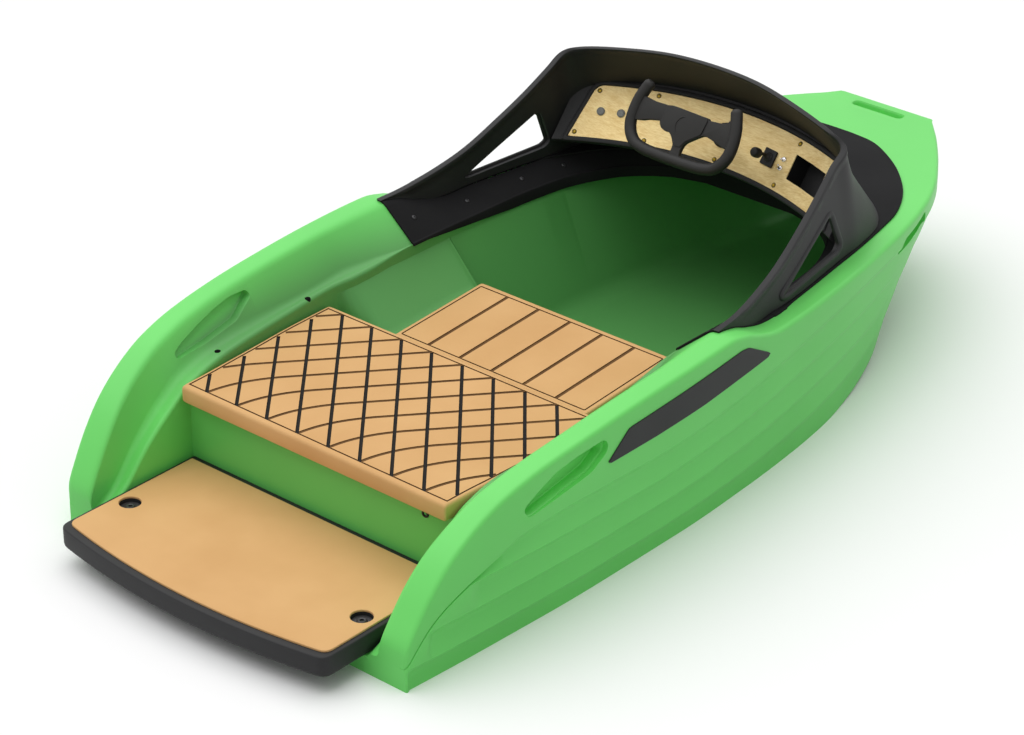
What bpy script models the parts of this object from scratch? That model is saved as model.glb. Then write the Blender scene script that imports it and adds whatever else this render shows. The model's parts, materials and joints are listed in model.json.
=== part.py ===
# Electric jet boat, rebuilt from a photograph.
# Axes: X to starboard, Y to the bow, Z up; metres; the origin lies on the waterline amidships.
import math

import bmesh
import bpy
import numpy as np
from mathutils import Matrix, Vector

# Where the drawing's own zero (foot of the bulkhead, at the platform's top) lies in the part
BULKHEAD_Y = -0.86
PLATFORM_Z = 0.10

# Hull and deck
STERN_Y = -0.268
BOW_Y = 2.120
STRAKE_STEP = 0.005
STRAKES = 4
CHINE_FLAT = 0.036
EDGE_ROUND = 0.020
PIECE_GAP = 0.0004

# Stern platform
PLATFORM_HALF_WIDTH = 0.400
PLATFORM_SIDE_LENGTH = 0.385
PLATFORM_BOW_OUT = 0.040
PLATFORM_THICKNESS = 0.052
PLATFORM_SIDE_GAP = 0.004
PAD_THICKNESS = 0.005
PAD_MARGIN = 0.012
LATCH_X = 0.350
LATCH_Y = -0.228
LATCH_HOLE_RADIUS = 0.0245
LATCH_DEPTH = 0.012

# Hatch over the machinery bay
HATCH_AFT_Y = -0.018
HATCH_FORE_Y = 0.478
HATCH_HALF_WIDTH_AFT = 0.385
HATCH_HALF_WIDTH_FORE = 0.418
HATCH_THICKNESS = 0.041
HATCH_REST_Z = 0.1425
MOVING_GAP = 0.0055
HATCH_SIDE_GAP = 0.008
HINGE_X = 0.240
HINGE_Y = 0.489
HINGE_Z = 0.154
HINGE_PIN_RADIUS = 0.004

# Seat pad and footwell
SEAT_AFT_Y = 0.560
SEAT_FORE_Y = 0.868
SEAT_HALF_WIDTH = 0.290
SEAT_Z_AFT = 0.124
SEAT_Z_FORE = 0.142
SEAT_PAD_THICKNESS = 0.020
FLOOR_Z = -0.050

# Machinery
SHAFT_Z = -0.135
DUCT_RADIUS = 0.045
MOTOR_RADIUS = 0.055
MOTOR_LENGTH = 0.190
MOTOR_AFT_Y = 0.062
BATTERY_WIDTH = 0.560
BATTERY_LENGTH = 0.170
BATTERY_HEIGHT = 0.190
BATTERY_AFT_Y = 0.285
BATTERY_LOW_Z = -0.0975
BAY_MARGIN = 0.020
NOZZLE_PIVOT_Y = -0.178
IMPELLER_RADIUS = 0.032

# Dashboard and steering yoke
DASH_RADIUS = 0.950
DASH_FOOT_Y = 1.388
DASH_FOOT_Z = 0.370
DASH_END_DROP = 0.10
DASH_LEAN_DEG = 40.0
DASH_THICKNESS = 0.025
DASH_LOW = -0.020
DASH_HIGH = 0.160
PLATE_LOW = -0.012
PLATE_HIGH = 0.131
PLATE_THICKNESS = 0.003
PANEL_STEP = 0.0325
PLATE_STEPS = 12
DASH_STEPS = 13
PLATE_GAP = 0.0008
CONTROL_GAP = 0.0009
POCKET = (0.219, 0.328, 0.030, 0.094)
POCKET_DEPTH = 0.055
COLUMN_AT = 0.064
THROTTLE_AT = (0.147, 0.055)
YOKE_CENTRE = Vector((0.0, 1.266, 0.510))
YOKE_TILT_DEG = 29.2
YOKE_TUBE_RADIUS = 0.0145

# Tables down the boat: y then value
SHEER_HALF_BREADTH = [
    (-0.268, 0.512), (-0.1, 0.535), (0.1, 0.553), (0.3, 0.562), (0.55, 0.565), (0.8, 0.558),
    (1.05, 0.541), (1.25, 0.516), (1.4, 0.489), (1.55, 0.457), (1.7, 0.412), (1.8, 0.367),
    (1.9, 0.305), (2.0, 0.234), (2.06, 0.186), (2.12, 0.126),
]
SHEER_HEIGHT = [
    (-0.268, 0.008), (-0.25, 0.034), (-0.2, 0.108), (-0.15, 0.165), (-0.1, 0.205), (-0.05, 0.235),
    (0.0, 0.257), (0.1, 0.283), (0.25, 0.303), (0.4, 0.316), (0.55, 0.325), (0.74, 0.331),
    (0.8, 0.320), (0.86, 0.298), (0.92, 0.2825), (0.96, 0.2795), (1.5, 0.278), (2.12, 0.274),
]
BAND_HEIGHT = [
    (-0.268, -0.045), (-0.25, -0.018), (-0.2, 0.035), (-0.15, 0.068), (-0.05, 0.110), (0.07, 0.150),
    (0.25, 0.158), (0.5, 0.155), (0.75, 0.168), (0.95, 0.192), (1.13, 0.214), (1.32, 0.226),
    (1.6, 0.232), (1.9, 0.234), (2.12, 0.234),
]
CHINE_HALF_BREADTH = [
    (-0.268, 0.512), (0.0, 0.528), (0.3, 0.540), (0.6, 0.541), (0.85, 0.530), (1.05, 0.512),
    (1.2, 0.490), (1.35, 0.456), (1.5, 0.408), (1.6, 0.362), (1.7, 0.315), (1.8, 0.265),
    (1.9, 0.212), (2.0, 0.155), (2.12, 0.088),
]
CHINE_HEIGHT = [
    (-0.268, -0.108), (0.3, -0.118), (0.8, -0.118), (1.05, -0.113), (1.2, -0.105), (1.35, -0.095),
    (1.5, -0.077), (1.6, -0.058), (1.7, -0.035), (1.8, -0.005), (1.9, 0.030), (2.0, 0.080),
    (2.12, 0.160),
]
KEEL_HEIGHT = [
    (-0.268, -0.220), (0.8, -0.226), (1.1, -0.220), (1.35, -0.204), (1.6, -0.168), (1.8, -0.110),
    (1.95, -0.035), (2.12, 0.090),
]
GUNWALE_INNER = [
    (-0.30, 0.432), (-0.2, 0.446), (-0.1, 0.466), (0.0, 0.482), (0.1, 0.494), (0.25, 0.502),
    (0.5, 0.505), (0.74, 0.497), (0.88, 0.485), (0.97, 0.483), (1.1, 0.468), (1.25, 0.446), (1.33, 0.42),
    (1.4, 0.372), (1.5, 0.27), (1.54, 0.15),
]
LEDGE_OUTER = [
    (-0.30, 0.430), (0.0, 0.446), (0.3, 0.452), (0.53, 0.446), (0.62, 0.427), (0.74, 0.403),
    (1.06, 0.403), (1.25, 0.388), (1.4, 0.335), (1.5, 0.235), (1.54, 0.115),
]
LEDGE_INNER = [
    (-0.30, PLATFORM_HALF_WIDTH + PLATFORM_SIDE_GAP), (-0.02, PLATFORM_HALF_WIDTH + PLATFORM_SIDE_GAP),
    (0.0, HATCH_HALF_WIDTH_AFT + HATCH_SIDE_GAP), (0.522, HATCH_HALF_WIDTH_FORE + HATCH_SIDE_GAP), (0.537, 0.405), (0.74, 0.400),
    (1.06, 0.400), (1.25, 0.385), (1.4, 0.332), (1.5, 0.232), (1.54, 0.112),
]
LEDGE_HEIGHT = [
    (-0.30, -0.060), (-0.213, -0.021), (-0.117, 0.075), (-0.05, 0.130), (0.03, 0.180),
    (0.13, 0.205), (0.42, 0.222), (0.6, 0.240), (0.74, 0.251), (1.06, 0.245), (1.54, 0.240),
]
FLOOR_HALF_WIDTH = [
    (0.506, 0.300), (SEAT_FORE_Y, 0.300), (SEAT_FORE_Y + 0.012, 0.272), (1.16, 0.271), (1.45, 0.257), (1.67, 0.222),
    (1.80, 0.165), (1.86, 0.100),
]
FLOOR_HEIGHT = [
    (0.506, 0.100), (SEAT_FORE_Y, 0.118), (SEAT_FORE_Y + 0.012, FLOOR_Z), (1.45, FLOOR_Z), (1.67, -0.045), (1.80, -0.020),
    (1.86, 0.020),
]
WALL_TOP_HALF_WIDTH = [
    (0.506, 0.400), (1.06, 0.400), (1.25, 0.385), (1.45, 0.350), (1.67, 0.290), (1.80, 0.215),
    (1.86, 0.140),
]

# Grips: outlines as y, z
OUTER_GRIP = [(0.066, 0.196), (0.085, 0.188), (0.290, 0.196), (0.318, 0.222), (0.330, 0.258), (0.300, 0.262)]
OUTER_GRIP_X = 0.530
INNER_GRIP = [(0.035, 0.209), (0.121, 0.218), (0.225, 0.233), (0.287, 0.266), (0.281, 0.281), (0.230, 0.282),
              (0.172, 0.272), (0.114, 0.257), (0.059, 0.239), (0.032, 0.225)]
INNER_GRIP_X = 0.448
INNER_GRIP_SLOPE = 0.55
INNER_GRIP_DEPTH = 0.024
BOW_GRIP = [(1.545, 0.177), (1.602, 0.185), (1.704, 0.226), (1.735, 0.262), (1.697, 0.266), (1.597, 0.224)]

# Windscreen cowl: foot x, y, then rim x, y, z, from the tail to the middle of the front
COWL_STATIONS = [
    (0.512, 0.748, 0.514, 0.745, 0.336), (0.504, 0.840, 0.507, 0.826, 0.341),
    (0.499, 0.950, 0.492, 0.932, 0.361), (0.496, 1.030, 0.478, 1.020, 0.388),
    (0.484, 1.130, 0.462, 1.120, 0.436), (0.470, 1.220, 0.448, 1.200, 0.480),
    (0.456, 1.310, 0.436, 1.270, 0.529), (0.446, 1.390, 0.430, 1.317, 0.567),
    (0.412, 1.510, 0.375, 1.325, 0.5805), (0.300, 1.620, 0.255, 1.349, 0.596),
    (0.150, 1.668, 0.130, 1.371, 0.6055), (0.000, 1.680, 0.000, 1.380, 0.609),
]
COWL_RIM = [(0.016, 0.0), (0.011, -0.003), (0.003, -0.003), (0.0, 0.001), (0.0, 0.010), (0.003, 0.016),
            (0.011, 0.016), (0.016, 0.012)]
COWL_THICKNESS = 0.012
COWL_GAP = 0.0010
COWL_CURVE_Y = 1.030
COWL_STEPS = 5
WINDOW_CORNERS = [(1.010, 0.310), (1.030, 0.304), (1.270, 0.312), (1.288, 0.325), (1.250, 0.412), (1.236, 0.418)]
FOREDECK_OUTLINE = [
    (0.505, 0.885), (0.508, 0.940), (0.500, 1.000), (0.488, 1.061), (0.474, 1.160), (0.459, 1.262),
    (0.442, 1.378), (0.417, 1.509), (0.393, 1.599), (0.344, 1.692), (0.276, 1.772), (0.207, 1.831),
    (0.126, 1.880), (0.056, 1.893), (0.0, 1.895),
]
FOREDECK_THICKNESS = 0.004
SIDE_PANEL = [
    (0.313, 0.207, 0.209), (0.365, 0.2095, 0.262), (0.386, 0.2105, 0.270), (0.770, 0.2275, 0.292),
    (0.807, 0.2290, 0.284), (0.876, 0.2320, 0.250), (0.886, 0.2370, 0.2385),
]
SIDE_PANEL_THICKNESS = 0.003
LINING_AFT_Y = 0.74
LINING_FORE_Y = 1.25
LINING_GAP = 0.0010
LINING_THICKNESS = 0.005

for thing in list(bpy.data.objects):
    bpy.data.objects.remove(thing, do_unlink=True)

datum = bpy.data.objects.new("datum", None)
datum.location = (0.0, BULKHEAD_Y, PLATFORM_Z)
bpy.context.scene.collection.objects.link(datum)


def along(table, y):
    """Value of a table at y, joined by a curve that doesn't overshoot."""
    ys = np.array([row[0] for row in table], float)
    vs = np.array([row[1] for row in table], float)
    if y <= ys[0]:
        return float(vs[0])
    if y >= ys[-1]:
        return float(vs[-1])
    slope = np.diff(vs) / np.diff(ys)
    tangent = np.zeros(len(ys))
    tangent[0] = slope[0]
    tangent[-1] = slope[-1]
    for i in range(1, len(ys) - 1):
        if slope[i - 1] * slope[i] > 0.0:
            tangent[i] = 2.0 * slope[i - 1] * slope[i] / (slope[i - 1] + slope[i])
    i = int(np.searchsorted(ys, y)) - 1
    h = ys[i + 1] - ys[i]
    t = (y - ys[i]) / h
    near = vs[i] * (1 + 2 * t) * (1 - t) ** 2 + tangent[i] * h * t * (1 - t) ** 2
    far = vs[i + 1] * t * t * (3 - 2 * t) + tangent[i + 1] * h * t * t * (t - 1)
    return float(near + far)


def solid(name, verts, faces):
    """One closed body, facing out, carried by the datum."""
    mesh = bpy.data.meshes.new(name)
    mesh.from_pydata([tuple(v) for v in verts], [], faces)
    shape = bmesh.new()
    shape.from_mesh(mesh)
    bmesh.ops.remove_doubles(shape, verts=shape.verts, dist=1e-6)
    bmesh.ops.triangulate(shape, faces=[f for f in shape.faces if len(f.verts) > 4])
    bmesh.ops.recalc_face_normals(shape, faces=shape.faces)
    shape.to_mesh(mesh)
    shape.free()
    thing = bpy.data.objects.new(name, mesh)
    thing.parent = datum
    bpy.context.scene.collection.objects.link(thing)
    return thing


def loft(name, rings):
    """Skin over rings of equal length, with an end face at each end."""
    count = len(rings[0])
    verts = [point for ring in rings for point in ring]
    faces = []
    for i in range(len(rings) - 1):
        for j in range(count):
            k = (j + 1) % count
            faces.append((i * count + j, i * count + k, (i + 1) * count + k))
            faces.append((i * count + j, (i + 1) * count + k, (i + 1) * count + j))
    faces.append(tuple(range(count)))
    faces.append(tuple(range((len(rings) - 1) * count, len(rings) * count)))
    return solid(name, verts, faces)


def prism(name, outline, low, high, axis="z"):
    """Outline drawn out between two levels of one axis."""
    place = {"z": lambda a, b, c: (a, b, c), "x": lambda a, b, c: (c, a, b), "y": lambda a, b, c: (a, c, b)}[axis]
    return loft(name, [[place(a, b, level) for a, b in outline] for level in (low, high)])


def box(name, low, high):
    outline = [(low[0], low[1]), (high[0], low[1]), (high[0], high[1]), (low[0], high[1])]
    return prism(name, outline, low[2], high[2])


def lathe(name, profile, origin, axis, steps=24):
    """Closed profile of (radius, distance along the axis) turned about the axis."""
    turn = Vector(axis).to_track_quat("Z", "Y").to_matrix()
    origin = Vector(origin)
    verts = []
    for s in range(steps):
        angle = 2.0 * math.pi * s / steps
        for radius, distance in profile:
            verts.append(origin + turn @ Vector((radius * math.cos(angle), radius * math.sin(angle), distance)))
    count = len(profile)
    faces = []
    for s in range(steps):
        t = (s + 1) % steps
        for j in range(count):
            k = (j + 1) % count
            if profile[j][0] < 1e-9 and profile[k][0] < 1e-9:
                continue
            faces.append((s * count + j, s * count + k, t * count + k, t * count + j))
    return solid_with_poles(name, verts, faces)


def solid_with_poles(name, verts, faces):
    """Body whose rings may shrink to a point on the axis."""
    merged = {}
    index = []
    kept = []
    for v in verts:
        key = tuple(round(c, 7) for c in v)
        if key not in merged:
            merged[key] = len(kept)
            kept.append(v)
        index.append(merged[key])
    clean = []
    for face in faces:
        ring = []
        for i in face:
            if index[i] not in ring:
                ring.append(index[i])
        if len(ring) > 2:
            clean.append(tuple(ring))
    return solid(name, kept, clean)


def rod(name, start, end, radius, steps=16):
    start = Vector(start)
    length = (Vector(end) - start).length
    return lathe(name, [(0, 0), (radius, 0), (radius, length), (0, length)], start, Vector(end) - start, steps)


def tube(name, path, radius, steps=10):
    """Round bar along a path, with flat ends."""
    path = [Vector(p) for p in path]
    rings = []
    side = None
    for i, point in enumerate(path):
        ahead = path[min(i + 1, len(path) - 1)] - path[max(i - 1, 0)]
        ahead.normalize()
        if side is None:
            side = ahead.orthogonal().normalized()
        side = (side - ahead * side.dot(ahead)).normalized()
        other = ahead.cross(side)
        rings.append([point + (side * math.cos(2 * math.pi * s / steps) + other * math.sin(2 * math.pi * s / steps)) * radius
                      for s in range(steps)])
    return loft(name, rings)


def combine(body, tool, operation):
    tool.hide_render = True
    tool.display_type = "WIRE"
    change = body.modifiers.new(tool.name, "BOOLEAN")
    change.operation = operation
    change.solver = "EXACT"
    change.object = tool


def cut(body, *tools):
    for tool in tools:
        combine(body, tool, "DIFFERENCE")


def add(body, *tools):
    for tool in tools:
        combine(body, tool, "UNION")


def both_sides(points):
    """Half outline from the middle out, closed with its mirror image."""
    mirror = [(-p[0],) + tuple(p[1:]) for p in reversed(points) if abs(p[0]) > 1e-9]
    return list(points) + mirror


# Stations down the boat
STATIONS = sorted({STERN_Y, -0.25, -0.225, -0.2, -0.15, -0.1, -0.05, 0.0, 0.07, 0.16, 0.3, 0.45, 0.6, 0.74, 0.8, 0.84,
                   0.88, 0.95, 1.05, 1.15, 1.25, 1.35, 1.45, 1.55, 1.63, 1.7, 1.76, 1.82, 1.88, 1.94, 2.0, 2.05,
                   2.09, BOW_Y})


def hull_ring(y):
    chine = along(CHINE_HALF_BREADTH, y)
    chine_z = along(CHINE_HEIGHT, y)
    top_x = along(SHEER_HALF_BREADTH, y)
    top_z = along(BAND_HEIGHT, y) - PIECE_GAP
    flat = CHINE_FLAT * min(1.0, chine / 0.4)
    points = [(0.0, along(KEEL_HEIGHT, y)), (chine - flat, chine_z - 0.002), (chine, chine_z)]
    for k in range(1, STRAKES + 1):
        part = k / STRAKES
        x = chine + (top_x - chine) * part
        z = chine_z + (top_z - chine_z) * part
        points.append((x - STRAKE_STEP, z))
        if k < STRAKES:
            points.append((x, z + 0.0015))
    return [(x, y, z) for x, z in both_sides(points)]


def deck_ring(y):
    half = along(SHEER_HALF_BREADTH, y)
    low = along(BAND_HEIGHT, y)
    high = along(SHEER_HEIGHT, y)
    edge = min(EDGE_ROUND, 0.45 * (high - low))
    points = [(0.0, low), (half, low), (half, high - edge), (half - 0.3 * edge, high - 0.3 * edge),
              (half - edge, high), (0.0, high)]
    mirror = [(-x, z) for x, z in reversed(points[1:-1])]
    return [(x, y, z) for x, z in points + mirror]


# Hull, its wells and the jet recess
hull = loft("hull", [hull_ring(y) for y in STATIONS])
deck = loft("deck", [deck_ring(y) for y in STATIONS])

platform_side = PLATFORM_HALF_WIDTH + PLATFORM_SIDE_GAP
platform_room = box("room_platform", (-platform_side, -0.6, -PAD_THICKNESS - PLATFORM_THICKNESS - PIECE_GAP),
                    (platform_side, 0.0, 0.5))
hatch_aft = HATCH_HALF_WIDTH_AFT + HATCH_SIDE_GAP
hatch_fore = HATCH_HALF_WIDTH_FORE + HATCH_SIDE_GAP
hatch_room = prism("room_hatch", [(-hatch_aft, -0.03), (hatch_aft, -0.03), (hatch_fore, 0.5), (hatch_fore, 0.532),
                                  (-hatch_fore, 0.532), (-hatch_fore, 0.5)], HATCH_REST_Z, 0.5)
bay_half = BATTERY_WIDTH / 2 + BAY_MARGIN
bay = box("room_bay", (-bay_half, 0.045, BATTERY_LOW_Z - 0.0005), (bay_half, BATTERY_AFT_Y + BATTERY_LENGTH + 0.007, 0.3))
sump = box("room_sump", (-0.066, 0.045, SHAFT_Z - MOTOR_RADIUS - PIECE_GAP), (0.066, 0.270, 0.0))


def well_ring(y):
    floor = along(FLOOR_HEIGHT, y)
    low = along(FLOOR_HALF_WIDTH, y)
    top = along(WALL_TOP_HALF_WIDTH, y)
    lean = (top - low) / (0.25 - floor)
    points = [(low - 0.006, floor), (low, floor + 0.006), (top, 0.25), (top + 0.05 * lean, 0.30)]
    return [(x, y, z) for x, z in both_sides(points)]


WELL_STATIONS = [0.506, 0.6, 0.75, SEAT_FORE_Y, SEAT_FORE_Y + 0.012, 1.0, 1.15, 1.3, 1.45, 1.56, 1.67, 1.75, 1.80, 1.835, 1.86]
well = loft("room_well", [well_ring(y) for y in WELL_STATIONS])


def mouth_ring(y):
    inner = along(LEDGE_INNER, y)
    ledge = along(LEDGE_HEIGHT, y)
    outer = max(along(LEDGE_OUTER, y), inner + 0.002)
    top = along(GUNWALE_INNER, y)
    high = along(SHEER_HEIGHT, y)
    rise = (top - outer) / max(high - ledge, 0.03)
    points = [(inner, -0.3), (inner, ledge), (outer, ledge + 0.001), (top, high),
              (top + 0.1 * max(rise, 0.0), high + 0.1)]
    return [(x, y, z) for x, z in both_sides(points)]


MOUTH_STATIONS = [-0.30, -0.25, -0.2, -0.15, -0.1, -0.05, -0.02, 0.0, 0.05, 0.13, 0.27, 0.42, 0.5, 0.522, 0.537, 0.62, 0.74,
                  0.77, 0.8, 0.83, 0.86, 0.89, 0.92, 0.95, 1.0, 1.06, 1.15, 1.25, 1.33, 1.4, 1.45, 1.5, 1.54]
mouth = loft("room_mouth", [mouth_ring(y) for y in MOUTH_STATIONS])

recess_port = prism("room_recess_port", [(-0.357, -0.32), (-0.357, -0.30), (-0.300, -0.088), (-0.110, -0.088),
                                         (-0.110, -0.32)], STERN_Y - 0.05, -0.150, axis="y")
recess_starboard = prism("room_recess_starboard", [(0.357, -0.32), (0.357, -0.30), (0.300, -0.088), (0.110, -0.088),
                                                   (0.110, -0.32)], STERN_Y - 0.05, -0.150, axis="y")
tunnel = box("room_tunnel", (-0.072, STERN_Y - 0.05, -0.190), (0.072, -0.150, -0.080))
duct = rod("room_duct", (0, -0.20, SHAFT_Z), (0, 0.036, SHAFT_Z), DUCT_RADIUS, 28)
intake = box("room_intake", (-0.034, -0.070, -0.3), (0.034, 0.030, SHAFT_Z))
shaft_hole = rod("room_shaft", (0, 0.0, SHAFT_Z), (0, 0.06, SHAFT_Z), 0.013, 18)
cut(hull, platform_room, hatch_room, bay, sump, well, recess_port, recess_starboard, tunnel, duct, intake, shaft_hole)
cut(deck, mouth)

# Grips in the gunwale and at the bow, and the tow slot
for side_name, side in (("port", -1), ("starboard", 1)):
    outer = prism("room_grip_" + side_name, OUTER_GRIP, side * OUTER_GRIP_X, side * 0.62, axis="x")
    inner = loft("room_inner_grip_" + side_name, [
        [(side * (INNER_GRIP_X + (z - INNER_GRIP[0][1]) * INNER_GRIP_SLOPE + depth), y, z) for y, z in INNER_GRIP]
        for depth in (-0.040, INNER_GRIP_DEPTH)])
    bow = prism("room_bow_grip_" + side_name, BOW_GRIP, side * 0.375, side * 0.55, axis="x")
    cut(deck, outer, inner, bow)
    cut(hull, bow)
slot = prism("room_tow_slot", [(-0.076, 2.064), (-0.070, 2.060), (0.070, 2.060), (0.076, 2.064), (0.076, 2.080),
                               (0.070, 2.084), (-0.070, 2.084), (-0.076, 2.080)], 0.245, 0.30)
cut(deck, slot)

# Stern platform with its pad and two latches


def platform_outline(margin):
    half = PLATFORM_HALF_WIDTH - margin
    side = -PLATFORM_SIDE_LENGTH + margin
    corner = 0.025
    points = [(half, -0.001 - margin), (half, side + corner), (half - 0.3 * corner, side + 0.3 * corner),
              (half - corner, side - 0.002)]
    for k in range(1, 6):
        x = (half - corner) * (1 - k / 5)
        points.append((x, side - PLATFORM_BOW_OUT * (1 - (x / half) ** 2)))
    mirror = [(-x, y) for x, y in reversed(points[:-1])]
    return points + mirror


platform = loft("stern_platform", [
    [(x, y, -PAD_THICKNESS - PLATFORM_THICKNESS) for x, y in platform_outline(0.008)],
    [(x, y, -PAD_THICKNESS - PLATFORM_THICKNESS + 0.008) for x, y in platform_outline(0.0)],
    [(x, y, -PAD_THICKNESS - 0.006) for x, y in platform_outline(0.0)],
    [(x, y, -PAD_THICKNESS) for x, y in platform_outline(0.006)],
])
pad = loft("platform_pad", [
    [(x, y, -PAD_THICKNESS + PIECE_GAP) for x, y in platform_outline(PAD_MARGIN)],
    [(x, y, 0.0) for x, y in platform_outline(PAD_MARGIN + 0.001)],
])
for side_name, side in (("port", -1), ("starboard", 1)):
    foot = -PAD_THICKNESS - LATCH_DEPTH
    hole = rod("room_latch_" + side_name, (side * LATCH_X, LATCH_Y, foot), (side * LATCH_X, LATCH_Y, 0.1),
               LATCH_HOLE_RADIUS, 24)
    cut(platform, hole)
    cut(pad, hole)
    lathe("latch_" + side_name, [(0, PIECE_GAP), (LATCH_HOLE_RADIUS - 0.0006, PIECE_GAP),
                                 (LATCH_HOLE_RADIUS - 0.0006, 0.003), (0.009, 0.004), (0.008, 0.009), (0, 0.009)],
          (side * LATCH_X, LATCH_Y, foot), (0, 0, 1))

# Hatch lid on two pins
lid_low = HATCH_REST_Z + MOVING_GAP
lid_high = lid_low + HATCH_THICKNESS


def lid_outline(margin, nose):
    aft = HATCH_HALF_WIDTH_AFT - margin
    fore = HATCH_HALF_WIDTH_FORE - margin
    return [(-aft, HATCH_AFT_Y + nose), (aft, HATCH_AFT_Y + nose), (fore, HATCH_FORE_Y - margin),
            (-fore, HATCH_FORE_Y - margin)]


lid = loft("hatch_lid", [
    [(x, y, lid_low) for x, y in lid_outline(0.0, 0.006)],
    [(x, y, lid_low + 0.008) for x, y in lid_outline(0.0, 0.001)],
    [(x, y, lid_high - 0.014) for x, y in lid_outline(0.0, 0.0)],
    [(x, y, lid_high - 0.004) for x, y in lid_outline(0.001, 0.004)],
    [(x, y, lid_high) for x, y in lid_outline(0.004, 0.012)],
])
for side_name, side in (("port", -1), ("starboard", 1)):
    x = side * HINGE_X
    lug = rod("lug_" + side_name, (x - 0.012, HINGE_Y, HINGE_Z), (x + 0.012, HINGE_Y, HINGE_Z), 0.0075, 16)
    leaf = box("leaf_" + side_name, (x - 0.010, HATCH_FORE_Y - 0.012, lid_low + 0.001),
               (x + 0.010, HINGE_Y - 0.001, lid_low + 0.007))
    bore = rod("bore_" + side_name, (x - 0.02, HINGE_Y, HINGE_Z), (x + 0.02, HINGE_Y, HINGE_Z),
               HINGE_PIN_RADIUS + 0.0006, 16)
    add(lid, lug, leaf)
    cut(lid, bore)
    hinge = box("hatch_hinge_" + side_name, (x - 0.034, HINGE_Y - 0.0055, HATCH_REST_Z + PIECE_GAP),
                (x + 0.034, HINGE_Y + 0.012, HATCH_REST_Z + 0.003))
    pin = rod("pin_" + side_name, (x - 0.030, HINGE_Y, HINGE_Z), (x + 0.030, HINGE_Y, HINGE_Z), HINGE_PIN_RADIUS, 16)
    add(hinge, pin)
    for end in (-1, 1):
        ear = box("ear_%s_%d" % (side_name, end + 1), (x + end * 0.025 - 0.006, HINGE_Y - 0.005, HATCH_REST_Z + 0.001),
                  (x + end * 0.025 + 0.006, HINGE_Y + 0.006, HINGE_Z + 0.006))
        add(hinge, ear)

# Slatted seat pad
seat_rings = []
for y, z in ((SEAT_AFT_Y, SEAT_Z_AFT), (SEAT_FORE_Y, SEAT_Z_FORE)):
    half = SEAT_HALF_WIDTH
    low = z - SEAT_PAD_THICKNESS
    seat_rings.append([(-half, y, low), (half, y, low), (half, y, z - 0.002), (half - 0.002, y, z), (-half + 0.002, y, z),
                       (-half, y, z - 0.002)])
seat = loft("seat_pad", seat_rings)

# Motor, battery, jet unit
motor = lathe("motor", [(0, 0), (MOTOR_RADIUS, 0), (MOTOR_RADIUS, MOTOR_LENGTH), (0, MOTOR_LENGTH)],
              (0, MOTOR_AFT_Y, SHAFT_Z), (0, 1, 0), 28)
add(motor, box("motor_foot", (-0.050, MOTOR_AFT_Y + 0.02, SHAFT_Z - MOTOR_RADIUS),
               (0.050, MOTOR_AFT_Y + MOTOR_LENGTH - 0.02, SHAFT_Z - 0.02)))
box("battery", (-BATTERY_WIDTH / 2, BATTERY_AFT_Y, BATTERY_LOW_Z),
    (BATTERY_WIDTH / 2, BATTERY_AFT_Y + BATTERY_LENGTH, BATTERY_LOW_Z + BATTERY_HEIGHT))
grate = box("intake_grate", (-0.0335, -0.0695, -0.214), (0.0335, 0.0295, -0.208))
for k in range(4):
    x = -0.024 + 0.016 * k
    cut(grate, box("room_grate_%d" % k, (x - 0.005, -0.062, -0.3), (x + 0.005, 0.022, 0.0)))
housing_length = 0.099
housing_start = NOZZLE_PIVOT_Y - 0.006
housing = lathe("jet_housing", [
    (0.024, 0.0), (0.030, 0.0), (0.032, 0.02), (DUCT_RADIUS - 0.0006, 0.052), (DUCT_RADIUS - 0.0006, housing_length),
    (0.038, housing_length), (0.038, 0.045),
], (0, housing_start, SHAFT_Z), (0, 1, 0), 28)
for k in (-1, 1):
    boss = rod("boss_%d" % (k + 1), (0, NOZZLE_PIVOT_Y + 0.006, SHAFT_Z + k * 0.0288), (0, NOZZLE_PIVOT_Y + 0.006, SHAFT_Z + k * 0.040), 0.010, 14)
    boss_bore = rod("boss_bore_%d" % (k + 1), (0, NOZZLE_PIVOT_Y + 0.006, SHAFT_Z + k * 0.0345), (0, NOZZLE_PIVOT_Y + 0.006, SHAFT_Z + k * 0.06), 0.0048, 16)
    add(housing, boss)
    cut(housing, boss_bore)
impeller = lathe("impeller", [(0, 0), (0.008, 0), (0.013, 0.012), (0.013, 0.050), (0.008, 0.060), (0.008, MOTOR_AFT_Y + 0.1465),
                              (0, MOTOR_AFT_Y + 0.1465)], (0, -0.147, SHAFT_Z), (0, 1, 0), 16)
for k in range(4):
    blade = box("blade_%d" % k, (-0.0015, -0.018, 0.006), (0.0015, 0.018, IMPELLER_RADIUS))
    angle = math.radians(90.0 * k)
    spot = Matrix.Translation((0, -0.115, SHAFT_Z)) @ Matrix.Rotation(angle, 4, "Y") @ Matrix.Rotation(math.radians(35), 4, "Z")
    blade.data.transform(spot)
    add(impeller, blade)
nozzle = lathe("steering_nozzle", [(0.036, 0.0), (0.041, 0.0), (0.036, -0.072), (0.031, -0.072)],
               (0, NOZZLE_PIVOT_Y - 0.012, SHAFT_Z), (0, 1, 0), 28)
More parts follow.
